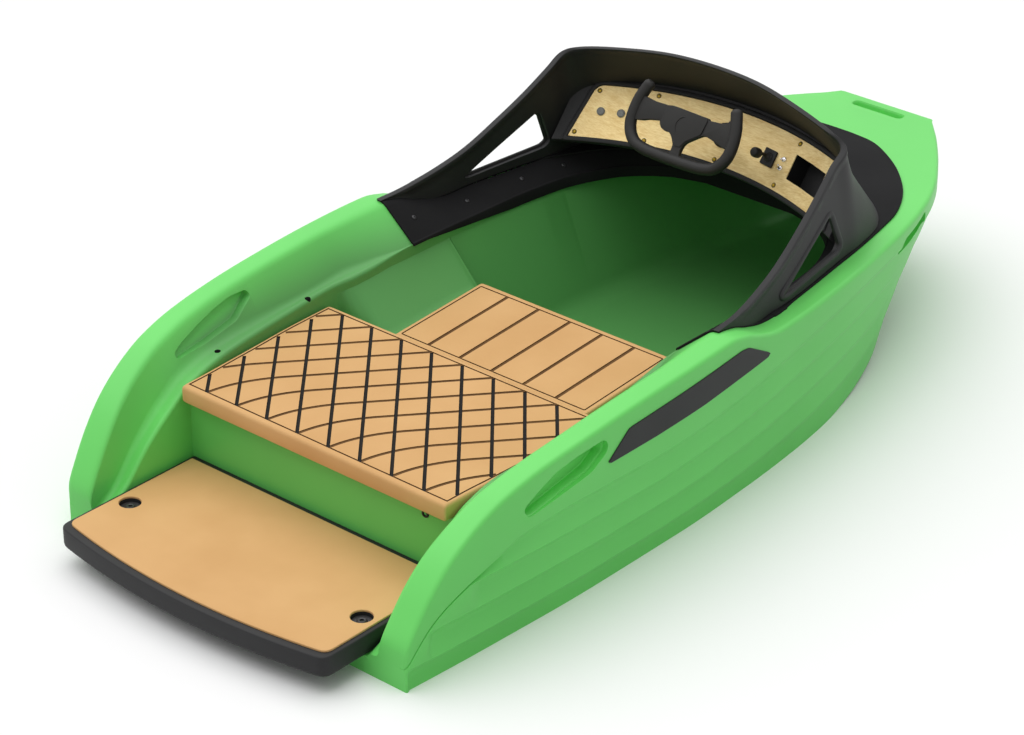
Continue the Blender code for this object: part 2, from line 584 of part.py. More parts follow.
for k in (-1, 1):
    lug = box("nozzle_lug_%d" % (k + 1), (-0.010, NOZZLE_PIVOT_Y - 0.030, min(SHAFT_Z + k * 0.0355, SHAFT_Z + k * 0.0475)),
              (0.010, NOZZLE_PIVOT_Y + 0.016, max(SHAFT_Z + k * 0.0355, SHAFT_Z + k * 0.0475)))
    clear = box("nozzle_clear_%d" % (k + 1), (-0.03, NOZZLE_PIVOT_Y - 0.011, min(SHAFT_Z + k * 0.030, SHAFT_Z + k * 0.0425)),
                (0.03, NOZZLE_PIVOT_Y + 0.03, max(SHAFT_Z + k * 0.030, SHAFT_Z + k * 0.0425)))
    peg = rod("nozzle_peg_%d" % (k + 1), (0, NOZZLE_PIVOT_Y + 0.006, SHAFT_Z + k * 0.036), (0, NOZZLE_PIVOT_Y + 0.006, SHAFT_Z + k * 0.045), 0.004, 16)
    add(nozzle, lug)
    cut(nozzle, clear)
    add(nozzle, peg)

# Black lining between the cowl and the coaming
for side_name, side in (("port", -1), ("starboard", 1)):
    rings = []
    for y in [v for v in MOUTH_STATIONS if LINING_AFT_Y <= v <= LINING_FORE_Y]:
        low = Vector((along(LEDGE_OUTER, y), y, along(LEDGE_HEIGHT, y) + 0.001))
        high = Vector((along(GUNWALE_INNER, y), y, along(SHEER_HEIGHT, y)))
        rise = (high - low).normalized()
        out = Vector((-rise.z, 0, rise.x))
        low += rise * 0.003
        ring = [low + out * LINING_GAP, high + out * LINING_GAP, high + out * LINING_THICKNESS, low + out * LINING_THICKNESS]
        rings.append([(side * p.x, p.y, p.z) for p in ring][::side])
    loft("cowl_lining_" + side_name, rings)

# Foredeck panel
panel_low = along(SHEER_HEIGHT, 0.97) + 0.0006


def smoothed(rows, steps):
    """Rows with others between them on a smooth curve; steps holds the number of parts of each span."""
    rows = [np.array(row, float) for row in rows]
    ends = [2 * rows[0] - rows[1], *rows, 2 * rows[-1] - rows[-2]]
    made = []
    for i, parts in enumerate(steps):
        before, start, end, after = ends[i:i + 4]
        reach = [np.linalg.norm(b - a) ** 0.5 for a, b in ((before, start), (start, end), (end, after))]
        leave = (start - before) / reach[0] - (end - before) / (reach[0] + reach[1]) + (end - start) / reach[1]
        arrive = (end - start) / reach[1] - (after - start) / (reach[1] + reach[2]) + (after - end) / reach[2]
        for k in range(parts):
            t = k / parts
            point = start * (1 + 2 * t) * (1 - t) ** 2 + end * t * t * (3 - 2 * t)
            made.append(point + (leave * t * (1 - t) ** 2 + arrive * t * t * (t - 1)) * reach[1])
    return made + [rows[-1]]


def mirrored(points):
    return list(points) + [(-x, y) for x, y in reversed(points) if x > 1e-9]


foredeck = prism("foredeck_panel", mirrored([(0.0, 0.97), (0.502, 0.97)] + [p for p in FOREDECK_OUTLINE if p[1] > 0.98]),
                 panel_low, panel_low + FOREDECK_THICKNESS)
opening = prism("room_foredeck", mirrored([(0.0, 0.80), (0.486, 0.80), (0.486, 0.97), (0.471, 1.10), (0.449, 1.25), (0.372, 1.40), (0.27, 1.50),
                                           (0.15, 1.54), (0.0, 1.545)]), 0.2, 0.4)
cut(foredeck, opening)

# Windscreen cowl
cowl_rings = []
keep_out_rings = []
foot_ys = [row[1] for row in COWL_STATIONS]
cowl_half = []
for y in sorted(set(foot_ys) | {v for v in STATIONS if foot_ys[0] < v < COWL_CURVE_Y}):
    cowl_half.append([float(np.interp(y, foot_ys, [row[i] for row in COWL_STATIONS])) for i in range(5)])
cowl_rows = [(-a, b, -c, d, e) for a, b, c, d, e in cowl_half] + list(reversed(cowl_half))[1:]
stations = smoothed(cowl_rows, [COWL_STEPS if min(a[1], b[1]) >= COWL_CURVE_Y else 1
                                for a, b in zip(cowl_rows, cowl_rows[1:])])
feet = [Vector((a, b, 0)) for a, b, c, d, e in stations]
rims = [Vector((c, d, e)) for a, b, c, d, e in stations]
for i, (foot, rim) in enumerate(zip(feet, rims)):
    heading = feet[min(i + 1, len(feet) - 1)] - feet[max(i - 1, 0)]
    inward = Vector((heading.y, -heading.x, 0)).normalized()
    foot = Vector((foot.x, foot.y, max(along(SHEER_HEIGHT, foot.y) + 0.0008, panel_low + FOREDECK_THICKNESS + PIECE_GAP)))
    down = (foot - rim).normalized()
    share = min(1.0, (rim.z - foot.z) / 0.040)
    bead = [rim + down * depth * share + inward * (max(offset, 0.0) if share < 1.0 and offset < 0.0 else offset)
            for depth, offset in COWL_RIM]
    cowl_rings.append([foot] + bead + [foot + inward * COWL_THICKNESS])
    gap = inward * COWL_GAP
    keep_out_rings.append([foot - inward * 0.10, rim - inward * 0.10, rim + inward * COWL_THICKNESS + gap, bead[-1] + gap,
                           foot + inward * COWL_THICKNESS + gap])
cowl = loft("windscreen_cowl", cowl_rings)
for side_name, side in (("port", -1), ("starboard", 1)):
    cut(cowl, prism("room_window_" + side_name, WINDOW_CORNERS, side * 0.38, side * 0.60, axis="x"))

# Dashboard with its brass plate, pocket and controls


def dash_turn(x):
    """Frame of the dash face at x: to starboard, up the face, out toward the driver."""
    lean = math.radians(DASH_LEAN_DEG)
    angle = math.asin(x / DASH_RADIUS)
    out = Vector((-math.sin(angle) * math.cos(lean), -math.cos(angle) * math.cos(lean), math.sin(lean)))
    up = Vector((0.0, math.sin(lean), math.cos(lean)))
    return Matrix((up.cross(out).normalized(), up, out)).transposed()


def dash_point(x, rise, out=0.0):
    """Point on the dash face: x, distance up the face, distance out toward the driver."""
    lean = math.radians(DASH_LEAN_DEG)
    spot = Vector((x, DASH_FOOT_Y - DASH_RADIUS + math.sqrt(DASH_RADIUS ** 2 - x * x) + rise * math.sin(lean),
                   DASH_FOOT_Z - DASH_END_DROP * x * x + rise * math.cos(lean)))
    return spot + dash_turn(x).col[2] * out


def on_dash(x, rise, out):
    """Point of an item seated on the dash plate, and the way it faces."""
    return dash_point(x, rise, PLATE_THICKNESS + CONTROL_GAP + out), dash_turn(x).col[2]


def dash_block(name, xs, rises, outs):
    """Block between two x values, two heights up the face and two depths."""
    return loft(name, [[dash_point(x, rises[0], outs[0]), dash_point(x, rises[1], outs[0]),
                        dash_point(x, rises[1], outs[1]), dash_point(x, rises[0], outs[1])] for x in xs])


dash_xs = [PANEL_STEP * k for k in range(-DASH_STEPS, DASH_STEPS + 1)]
plate_xs = [PANEL_STEP * k for k in range(-PLATE_STEPS, PLATE_STEPS + 1)]
dash = dash_block("dash_frame", dash_xs, (DASH_LOW, DASH_HIGH), (0.0, -DASH_THICKNESS))
pocket_xs = (POCKET[0] - 0.004, (POCKET[0] + POCKET[1]) / 2, POCKET[1] + 0.004)
add(dash, dash_block("pocket_box", pocket_xs, (POCKET[2] - 0.004, POCKET[3] + 0.004), (-0.010, -POCKET_DEPTH - 0.004)))
cowl_room = loft("room_cowl", keep_out_rings)
cut(dash, cowl_room)
plate_rings = []
for x in plate_xs:
    corner = 0.012 if abs(x) > plate_xs[-1] - 0.001 else 0.0
    low = PLATE_LOW + corner / 2
    high = PLATE_HIGH - corner
    plate_rings.append([dash_point(x, low, PLATE_GAP), dash_point(x, high, PLATE_GAP),
                        dash_point(x, high, PLATE_THICKNESS), dash_point(x, low, PLATE_THICKNESS)])
plate = loft("dash_plate", plate_rings)
cut(plate, cowl_room)
pocket_room = dash_block("room_pocket", (POCKET[0], (POCKET[0] + POCKET[1]) / 2, POCKET[1]), (POCKET[2], POCKET[3]),
                         (0.02, -POCKET_DEPTH))
cut(dash, pocket_room)
cut(plate, pocket_room)
for name, x, rise in (("gauge_port", -0.337, 0.061), ("gauge_starboard", -0.287, 0.061)):
    spot, facing = on_dash(x, rise, 0.0)
    lathe(name, [(0, 0), (0.0105, 0), (0.0095, 0.004), (0, 0.004)], spot, facing, 20)
throttle_x, throttle_rise = THROTTLE_AT
throttle_spot, throttle_out = on_dash(throttle_x, throttle_rise, 0.0)
throttle_up = dash_turn(throttle_x).col[1]
base = dash_block("throttle_base", (throttle_x - 0.019, throttle_x + 0.019), (throttle_rise - 0.021, throttle_rise + 0.021),
                  (PLATE_THICKNESS + CONTROL_GAP, PLATE_THICKNESS + CONTROL_GAP + 0.005))
knob_low = throttle_spot + throttle_out * 0.040 - throttle_up * 0.006
knob_high = throttle_spot + throttle_out * 0.064 - throttle_up * 0.010
throttle = tube("throttle_lever", [throttle_spot + throttle_out * 0.0055, throttle_spot + throttle_out * 0.024,
                                   (knob_low + knob_high) / 2], 0.004, 10)
add(throttle, rod("throttle_knob", knob_low, knob_high, 0.0125, 14))
for k, rise in enumerate((0.068, 0.045)):
    spot, facing = on_dash(0.190, rise, 0.0)
    lathe("toggle_%d" % (k + 1), [(0, 0), (0.0065, 0), (0.0065, 0.004), (0.0025, 0.004), (0.003, 0.013), (0, 0.013)], spot,
          facing, 12)

# Steering yoke on its column
tilt = math.radians(YOKE_TILT_DEG)
yoke_out = Vector((0, -math.cos(tilt), math.sin(tilt)))
yoke_up = Vector((0, math.sin(tilt), math.cos(tilt)))
yoke_side = Vector((1, 0, 0))


def on_yoke(u, v, out=0.0):
    return YOKE_CENTRE + yoke_side * u + yoke_up * v + yoke_out * out


half_path = [(0.128, 0.067), (0.136, 0.046), (0.145, 0.020), (0.149, -0.011), (0.147, -0.042), (0.137, -0.064),
             (0.118, -0.082), (0.090, -0.090), (0.045, -0.093)]
rim_path = [on_yoke(-u, v) for u, v in half_path] + [on_yoke(u, v) for u, v in reversed(half_path)]
yoke = tube("steering_yoke", rim_path, YOKE_TUBE_RADIUS, 12)
spokes = [
    ("across", 0.006, [(-0.138, -0.028), (-0.066, -0.0145), (-0.061, -0.029), (-0.040, -0.036), (0.040, -0.036),
                (0.061, -0.029), (0.066, -0.0145), (0.138, -0.028), (0.138, 0.028), (-0.138, 0.028)]),
    ("down", 0.0052, [(-0.0262, -0.0285), (-0.0147, -0.053), (-0.0105, -0.074), (-0.013, -0.0885), (0.013, -0.0885),
              (0.0105, -0.074), (0.0147, -0.053), (0.0262, -0.0285)]),
]
for name, half, shape in spokes:
    add(yoke, loft("spoke_" + name, [[on_yoke(u, v, -half) for u, v in shape], [on_yoke(u, v, half) for u, v in shape]]))
add(yoke, lathe("hub", [(0, -0.013), (0.0305, -0.013), (0.0305, 0.009), (0.024, 0.014), (0, 0.014)], YOKE_CENTRE, yoke_out, 22))
column_spot, column_facing = on_dash(0.0, COLUMN_AT, 0.0)
column_run = (YOKE_CENTRE - column_spot).length
add(yoke, rod("shaft", on_yoke(0, 0, -0.005), on_yoke(0, 0, -column_run - 0.022), 0.011, 16))
column_room = rod("room_column", on_yoke(0, 0, -column_run + 0.06), on_yoke(0, 0, -column_run - 0.08), 0.0170, 20)
cut(dash, column_room)
cut(plate, column_room)
bearing = lathe("column_bearing", [(0, 0.0), (0.032, 0.0), (0.026, 0.016), (0, 0.016)], column_spot, column_facing, 24)
cut(bearing, rod("bore_bearing", on_yoke(0, 0, -column_run + 0.06), on_yoke(0, 0, -column_run - 0.08), 0.0116, 20))

# Insert panels on the sides
for side_name, side in (("port", -1), ("starboard", 1)):
    rings = []
    spots = [row[0] for row in SIDE_PANEL]
    spots += [y for y in STATIONS if spots[0] < y < spots[-1]]
    for y in sorted(spots):
        low = float(np.interp(y, [row[0] for row in SIDE_PANEL], [row[1] for row in SIDE_PANEL]))
        high = float(np.interp(y, [row[0] for row in SIDE_PANEL], [row[2] for row in SIDE_PANEL]))
        skin = along(SHEER_HALF_BREADTH, y) + PIECE_GAP
        rings.append([(side * skin, y, low), (side * skin, y, high), (side * (skin + SIDE_PANEL_THICKNESS), y, high - 0.001),
                      (side * (skin + SIDE_PANEL_THICKNESS), y, low + 0.001)])
    loft("side_panel_" + side_name, rings)

# Drain in the bulkhead
lathe("drain_plug", [(0, PIECE_GAP), (0.010, PIECE_GAP), (0.008, 0.005), (0, 0.005)], (0.309, 0.0, 0.122), (0, -1, 0), 16)
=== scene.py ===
import json
from math import asin, cos, hypot, pi, radians, sin, sqrt

import bmesh
import bpy
import numpy as np
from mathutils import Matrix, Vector


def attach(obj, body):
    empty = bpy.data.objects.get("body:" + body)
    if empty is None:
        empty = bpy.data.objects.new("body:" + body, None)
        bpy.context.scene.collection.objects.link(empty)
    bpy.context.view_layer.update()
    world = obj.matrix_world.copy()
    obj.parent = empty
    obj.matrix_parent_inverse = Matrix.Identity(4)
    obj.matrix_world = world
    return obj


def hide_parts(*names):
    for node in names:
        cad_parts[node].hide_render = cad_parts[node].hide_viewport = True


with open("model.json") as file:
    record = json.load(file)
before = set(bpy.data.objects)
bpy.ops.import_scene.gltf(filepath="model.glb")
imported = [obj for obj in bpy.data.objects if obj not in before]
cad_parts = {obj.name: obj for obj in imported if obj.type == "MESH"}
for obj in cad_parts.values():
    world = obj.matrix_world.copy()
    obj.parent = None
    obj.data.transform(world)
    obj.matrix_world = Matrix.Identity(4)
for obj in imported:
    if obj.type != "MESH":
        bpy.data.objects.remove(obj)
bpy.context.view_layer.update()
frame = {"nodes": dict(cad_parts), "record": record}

# The drawing's own zero: foot of the bulkhead, at the stern platform's top
ZERO = Vector((0.0, -0.86, 0.1))


def mm(*rows):
    """Rows of millimetres as rows of metres."""
    return [tuple(value / 1000 for value in row) for row in rows]


# Tables down the boat, in millimetres: y then value
SHEER_HALF_BREADTH = mm(
    (-268, 505), (-265, 509.5), (-258, 513), (-250, 514.5), (-100, 535), (100, 553), (300, 562), (550, 565),
    (800, 558), (1050, 541), (1250, 516), (1400, 489), (1550, 457), (1700, 412), (1800, 367), (1900, 305),
    (2000, 234), (2060, 186), (2120, 126),
)
SHEER_HEIGHT = mm(
    (-268, -10), (-265, 2), (-259, 16), (-250, 32), (-200, 108), (-150, 165), (-100, 205), (-50, 235),
    (0, 257), (100, 283), (250, 303), (400, 316), (550, 325), (740, 331), (800, 320), (860, 298),
    (920, 282.5), (960, 279.5), (1500, 278), (2120, 274),
)
BAND_HEIGHT = mm(
    (-268, -45), (-250, -20), (-200, 35), (-150, 68), (-50, 110), (70, 150), (250, 158), (500, 155),
    (750, 168), (950, 192), (1130, 214), (1320, 226), (1600, 232), (1900, 234), (2120, 234),
)
CHINE_HALF_BREADTH = mm(
    (-268, 512), (0, 528), (300, 540), (600, 541), (850, 530), (1050, 512), (1200, 490), (1350, 456),
    (1500, 408), (1600, 362), (1700, 315), (1800, 265), (1900, 212), (2000, 155), (2120, 88),
)
CHINE_HEIGHT = mm(
    (-268, -118), (300, -118), (800, -118), (1050, -113), (1200, -105), (1350, -95), (1500, -77), (1600, -58),
    (1700, -35), (1800, -5), (1900, 30), (2000, 80), (2120, 160),
)
KEEL_HEIGHT = mm(
    (-268, -220), (800, -226), (1100, -220), (1350, -204), (1600, -168), (1800, -110), (1950, -35),
    (2120, 90),
)
GUNWALE_INNER = mm(
    (-300, 432), (-200, 446), (-100, 466), (0, 482), (100, 494), (250, 502), (500, 505), (740, 497),
    (880, 485), (970, 483), (1100, 468), (1250, 446), (1330, 420), (1400, 372), (1500, 270), (1540, 150),
)
LEDGE_OUTER = mm(
    (-300, 430), (0, 446), (300, 452), (530, 446), (620, 427), (740, 403), (1060, 403), (1250, 388),
    (1400, 335), (1500, 235), (1540, 115),
)
LEDGE_INNER = mm(
    (-300, 404), (0, 404), (100, 405.5), (219, 414), (344, 422.5), (450, 426), (490, 424.5), (520, 419.5),
    (560, 410), (620, 404), (740, 400), (1060, 400), (1250, 385), (1400, 332), (1500, 232), (1540, 112),
)
LEDGE_HEIGHT = mm(
    (-300, -60), (-213, -21), (-117, 75), (-50, 130), (30, 180), (130, 205), (420, 222), (600, 240),
    (740, 251), (1060, 245), (1540, 240),
)
FLOOR_HALF_WIDTH = mm(
    (-300, 403), (13, 403), (100, 404.5), (219, 412), (344, 420.5), (450, 424), (505, 420), (535, 352),
    (560, 310), (600, 302), (868, 300), (884, 272), (1160, 271), (1450, 257), (1670, 222), (1800, 165),
    (1860, 100),
)
FLOOR_HEIGHT = mm(
    (-300, -57.4), (14.2, -57.4), (14.8, 132), (16.5, 139), (20, 142.2), (24, 142.5), (505, 142.5),
    (510, 100), (856, 117.5), (866, 115), (872, 108), (876, 96), (879, -30), (886, -45), (900, -50),
    (1450, -50), (1670, -45), (1800, -20), (1860, 20),
)
WALL_TOP_HALF_WIDTH = mm((1060, 400), (1250, 385), (1450, 350), (1670, 290), (1800, 215), (1860, 140))
STERN_Y, BOW_Y, MOUTH_END_Y, NOSE_END_Y = -0.268, 2.12, 1.54, 1.86
STRAKES, STRAKE_STEP, STRAKE_RISE = 4, 0.013, 0.069
# Hollow under each lap: share of the step that it lies in, share of the hollow that it lies below the lap
STRAKE_COVE = ((1.0, 1.0), (0.93, 0.62), (0.74, 0.32), (0.45, 0.12), (0.15, 0.03))

# Windscreen cowl: foot x, y, then rim x, y, z
COWL_STATIONS = mm(
    (512, 748, 514, 745, 336), (504, 840, 507, 826, 341), (499, 950, 492, 932, 361),
    (496, 1030, 478, 1020, 388), (484, 1130, 462, 1120, 436), (470, 1220, 448, 1200, 480),
    (456, 1310, 436, 1270, 524.5), (446, 1390, 430, 1317, 553), (412, 1510, 375, 1327, 580),
    (300, 1620, 255, 1352, 602), (150, 1668, 130, 1374, 615.5), (0, 1680, 0, 1383, 618),
)
WINDOW_CORNERS = mm((1010, 310), (1030, 304), (1270, 312), (1288, 325), (1250, 412), (1236, 418))
FOREDECK_OUTLINE = mm(
    (508, 940), (500, 1000), (488, 1061), (474, 1160), (459, 1262), (442, 1378), (417, 1509), (393, 1599),
    (344, 1692), (276, 1772), (207, 1831), (126, 1880), (56, 1893), (0, 1895),
)
SIDE_PANEL = mm(
    (314, 209.4), (310, 215), (376, 268.5), (386, 270), (773, 293.5), (800, 290), (884, 243), (878, 235),
    (639, 217.5), (468, 211.3),
)
OUTER_GRIP = mm(
    (54, 199.2), (62, 186.4), (77.7, 183.7), (256.5, 212.5), (304.7, 240.7), (309.6, 257.6), (300.2, 271),
    (289.9, 273.9), (207.8, 267.8), (150.2, 257.4), (106.5, 238.6), (57.1, 211.1),
)
INNER_GRIP = mm(
    (35, 209), (121, 218), (225, 233), (287, 266), (281, 281), (230, 282), (172, 272), (114, 257), (59, 239),
    (32, 225),
)
BOW_GRIP = mm(
    (1525.1, 208.6), (1605, 209.4), (1656.3, 214.4), (1680.8, 225.8), (1684.7, 248.9), (1679.5, 260.9),
    (1643.4, 256.4), (1597.9, 252), (1550.6, 250.3), (1531, 241.7), (1518.4, 226.6),
)

# Moulding: extra stations, edges, and the levels of what is cut in it
MOULDING_STATIONS = [y / 1000 for y in (
    -266.8, -265.5, -264, -262, -259, -255, 14.2, 14.8, 15.6, 16.5, 18, 20, 24, 500, 505, 510, 515, 520,
    522, 527, 532, 537, 856, 861, 866, 869, 872, 874, 876, 877.5, 879, 882, 886, 892, 900,
)]
GUNWALE_EDGE, BOW_ROUND, BOW_CENTRE_Z = 0.013, 0.014, 0.19
OUTER_GRIP_LEVELS = mm((526, 6), (528.5, 4), (545, 4), (548.5, 2), (549.2, -1), (600, -1.2))
INNER_GRIP_LEVELS = mm((-40, -6), (-4, -4), (1, -1), (6, 0), (22, 0), (24, 2))
BOW_GRIP_LEVELS = mm((-27.2, 1.3), (-8, 1.1), (41, 0.9))
TOW_SLOT = mm((-74, 2060), (74, 2060), (74, 2084), (-74, 2084))
TOW_SLOT_LEVELS = mm((245, 1), (247, 0), (268, 0), (272, -2), (276, -5), (290, -6))
TUNNEL = mm((357, -320), (357, -300), (300, -88), (110, -88), (110, -320))
TRANSOM_Y, JET_Z = -0.15, -0.135

# Dash face: the pocket is its ends in x, then in height
DASH_RADIUS, DASH_FOOT_Y, DASH_FOOT_Z, DASH_END_DROP = 0.95, 1.388, 0.37, 0.1
DASH_LEAN = radians(40.0)
PLATE_OUT = 0.003
POCKET, POCKET_DEPTH = (0.219, 0.328, 0.03, 0.094), 0.055

# Yoke
YOKE_CENTRE = Vector((0.0, 1.266, 0.51))
YOKE_TILT = radians(29.2)


def along(table, y):
    """Value of a table at y, joined by a curve that doesn't overshoot."""
    ys = [row[0] for row in table]
    vs = [row[1] for row in table]
    if y <= ys[0]:
        return vs[0]
    if y >= ys[-1]:
        return vs[-1]
    slope = [(vs[i + 1] - vs[i]) / (ys[i + 1] - ys[i]) for i in range(len(ys) - 1)]
    tangent = [slope[0]] + [0.0] * (len(ys) - 2) + [slope[-1]]
    for i in range(1, len(ys) - 1):
        if slope[i - 1] * slope[i] > 0.0:
            tangent[i] = 2.0 * slope[i - 1] * slope[i] / (slope[i - 1] + slope[i])
    i = max(k for k in range(len(ys)) if ys[k] < y)
    h = ys[i + 1] - ys[i]
    t = (y - ys[i]) / h
    near = vs[i] * (1 + 2 * t) * (1 - t) ** 2 + tangent[i] * h * t * (1 - t) ** 2
    far = vs[i + 1] * t * t * (3 - 2 * t) + tangent[i + 1] * h * t * t * (t - 1)
    return near + far


# Materials

# Name: colour, its darker drift, roughness, grain's scale and depth, drift's scale, specular, metallic
FINISHES = {
    "green_gelcoat": ((117, 228, 112), (113, 221, 108), 0.4, 140, 0.03, 2, 0.35, 0),
    "black_moulding": ((42, 42, 43), (37, 37, 38), 0.55, 900, 0.12, 6, 0.3, 0),
    "foredeck_black": ((36, 36, 37), (31, 31, 32), 0.75, 900, 0.15, 6, 0.08, 0),
    "black_grip": ((37, 36, 35), (33, 32, 31), 0.55, 700, 0.2, 20, 0.35, 0),
    "tan_foam": ((226, 179, 122), (219, 171, 114), 0.74, 1100, 0.18, 5, 0.25, 0),
    # groove_brown is the tan foam darkened: painted shade for the floors of grooves
    "groove_brown": ((116, 84, 50), (102, 73, 44), 0.85, 900, 0.2, 9, 0.2, 0),
    "groove_black": ((36, 34, 32), (30, 29, 28), 0.8, 900, 0.2, 9, 0.2, 0),
    "steel": ((176, 178, 180), (160, 162, 166), 0.32, 300, 0.05, 30, 0.5, 1),
    "dark_steel": ((74, 74, 76), (64, 64, 66), 0.42, 300, 0.08, 30, 0.5, 0.6),
    "chrome_trim": ((226, 226, 230), (212, 212, 218), 0.1, 500, 0.01, 60, 0.5, 1),
    "grey_button": ((150, 150, 146), (128, 128, 126), 0.45, 1400, 0.5, 400, 0.5, 0),
    "motor_case": ((150, 153, 158), (132, 135, 140), 0.45, 200, 0.15, 18, 0.5, 0.9),
    "jet_metal": ((164, 167, 172), (146, 149, 154), 0.38, 240, 0.15, 18, 0.5, 0.9),
    "battery_case": ((42, 42, 46), (36, 36, 40), 0.5, 700, 0.15, 8, 0.5, 0),
    "screw_gold": ((196, 164, 62), (176, 146, 54), 0.34, 400, 0.05, 40, 0.5, 0.8),
}
GRAIN_STRETCH = {"steel": (1, 8, 1)}
ROUGH_SWING, GRAIN_HEIGHT = 0.05, 0.0006
# Darker green for painted shade inside the cockpit, stronger the deeper a point lies
PAINTED_SHADE_GREEN = (94, 166, 90)
PAINTS = {}


def rgb(r, g, b):
    """sRGB values of 0 to 255 as a linear colour."""
    shares = [c / 255.0 for c in (r, g, b)]
    return (*[c / 12.92 if c <= 0.04045 else ((c + 0.055) / 1.055) ** 2.4 for c in shares], 1.0)


def put(tree, target, inputs):
    """Links an input that is given a socket, and sets any other to its value."""
    for key, value in inputs.items():
        if isinstance(value, bpy.types.NodeSocket):
            tree.links.new(value, target.inputs[key])
        else:
            target.inputs[key].default_value = value


def node(tree, kind, inputs, **settings):
    made = tree.nodes.new("ShaderNode" + kind)
    for key, value in settings.items():
        setattr(made, key, value)
    put(tree, made, inputs)
    return made.outputs


def material(name):
    PAINTS[name] = bpy.data.materials.new(name)
    PAINTS[name].use_nodes = True
    tree = PAINTS[name].node_tree
    return tree, tree.nodes["Principled BSDF"]


def noise(tree, scale, detail=2.0, rough=0.5, stretch=(1, 1, 1)):
    where = node(tree, "TexCoord", {})["Object"]
    spot = node(tree, "Mapping", {"Vector": where, "Scale": stretch})["Vector"]
    values = {"Vector": spot, "Scale": scale, "Detail": detail, "Roughness": rough}
    return node(tree, "TexNoise", values)["Fac"]


def ramp(tree, source, low, high, a, b):
    colour = node(tree, "ValToRGB", {"Fac": source})["Color"]
    for stop, position, tint in zip(colour.node.color_ramp.elements, (low, high), (a, b)):
        stop.position = position
        stop.color = tint
    return colour


def spread(tree, source, low, high):
    return node(tree, "MapRange", {"Value": source, "To Min": low, "To Max": high})["Result"]


def bump(tree, source, strength, distance):
    return node(tree, "Bump", {"Height": source, "Strength": strength, "Distance": distance})["Normal"]


for name, (colour, darker, rough, grain, depth, drift, specular, metallic) in FINISHES.items():
    tree, shader = material(name)
    slow = noise(tree, drift, 3.0)
    fine = noise(tree, grain, 3.0, 0.6, GRAIN_STRETCH.get(name, (1, 1, 1)))
    put(tree, shader, {
        "Base Color": ramp(tree, slow, 0.35, 0.65, rgb(*darker), rgb(*colour)),
        "Roughness": spread(tree, fine, rough - ROUGH_SWING, rough + ROUGH_SWING),
        "Normal": bump(tree, fine, depth, GRAIN_HEIGHT), "Specular IOR Level": specular, "Metallic": metallic,
    })

# The green turns to a darker green by how deep a point lies in the boat: painted shade inside the cockpit
tree = PAINTS["green_gelcoat"].node_tree
shader = tree.nodes["Principled BSDF"]
inside = node(tree, "Attribute", {}, attribute_name="painted_shade_depth")["Fac"]
outside = shader.inputs["Base Color"].links[0].from_socket
blend = node(tree, "Mix", {0: inside, 6: outside, 7: rgb(*PAINTED_SHADE_GREEN)}, data_type="RGBA")
put(tree, shader, {"Base Color": blend[2]})

# Brass sheet with a brushed, slightly mottled face
tree, shader = material("brass_sheet")
streak = noise(tree, 40.0, 4.0, 0.65, (1.0, 9.0, 9.0))
blotch = noise(tree, 26.0, 4.0, 0.6, (1.0, 2.5, 2.5))
share = node(tree, "Math", {0: blotch, 1: 0.45}, operation="MULTIPLY")[0]
both = node(tree, "Math", {0: streak, 1: 0.55, 2: share}, operation="MULTIPLY_ADD")[0]
put(tree, shader, {
    "Base Color": ramp(tree, both, 0.32, 0.66, rgb(218, 182, 112), rgb(255, 232, 172)),
    "Roughness": spread(tree, streak, 0.36, 0.56), "Normal": bump(tree, both, 0.28, 0.0008), "Metallic": 0.45,
})

for row in frame["record"]["subparts"]:
    for spot in frame["nodes"][row["node"]].material_slots:
        spot.material = PAINTS[row["material_slot"]]

# Mesh tools: a shape is (verts, faces) in the drawing's own coordinates
SIDES = (("port", -1), ("starboard", 1))


def shade(thing, smooth):
    thing.data.shade_smooth()
    thing.data.set_sharp_from_angle(angle=radians(smooth))


def mesh_object(name, shape, paint, smooth=35.0):
    mesh = bpy.data.meshes.new(name)
    mesh.from_pydata([tuple(Vector(v) + ZERO) for v in shape[0]], [], shape[1])
    solid = bmesh.new()
    solid.from_mesh(mesh)
    bmesh.ops.remove_doubles(solid, verts=solid.verts, dist=1e-6)
    bmesh.ops.recalc_face_normals(solid, faces=solid.faces)
    solid.to_mesh(mesh)
    solid.free()
    mesh.materials.append(PAINTS[paint] if isinstance(paint, str) else paint)
    thing = bpy.data.objects.new(name, mesh)
    bpy.context.scene.collection.objects.link(thing)
    shade(thing, smooth)
    return thing


def carve(thing, shapes, operation="DIFFERENCE", paint=None, smooth=35.0):
    """Cuts or adds shapes, one after the other, and keeps the result as plain mesh."""
    for shape in shapes:
        tool = mesh_object("tool", shape, paint or thing.data.materials[0])
        change = thing.modifiers.new("change", "BOOLEAN")
        change.operation = operation
        change.solver = "EXACT"
        change.object = tool
        change.material_mode = "TRANSFER"
        bpy.context.view_layer.update()
        seen = thing.evaluated_get(bpy.context.evaluated_depsgraph_get())
        result = bpy.data.meshes.new_from_object(seen)
        thing.modifiers.clear()
        thing.data = result
        bpy.data.objects.remove(tool, do_unlink=True)
    shade(thing, smooth)


def settle(thing, slot, *replaced, body="boat"):
    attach(thing, body)
    if replaced:
        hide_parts(*replaced)


def piece(name, shape, paint, *replaced, slot=None, body="boat"):
    """Piece that needs no cutting."""
    settle(mesh_object(name, shape, paint), slot or paint, *replaced, body=body)


def loft(rings, caps=True):
    count = len(rings[0])
    verts = [p for ring in rings for p in ring]
    faces = []
    for i in range(len(rings) - 1):
        for j in range(count):
            k = (j + 1) % count
            faces.append((i * count + j, i * count + k, (i + 1) * count + k, (i + 1) * count + j))
    if caps:
        faces.append(tuple(range(count)))
        faces.append(tuple(range((len(rings) - 1) * count, len(rings) * count)))
    return verts, faces


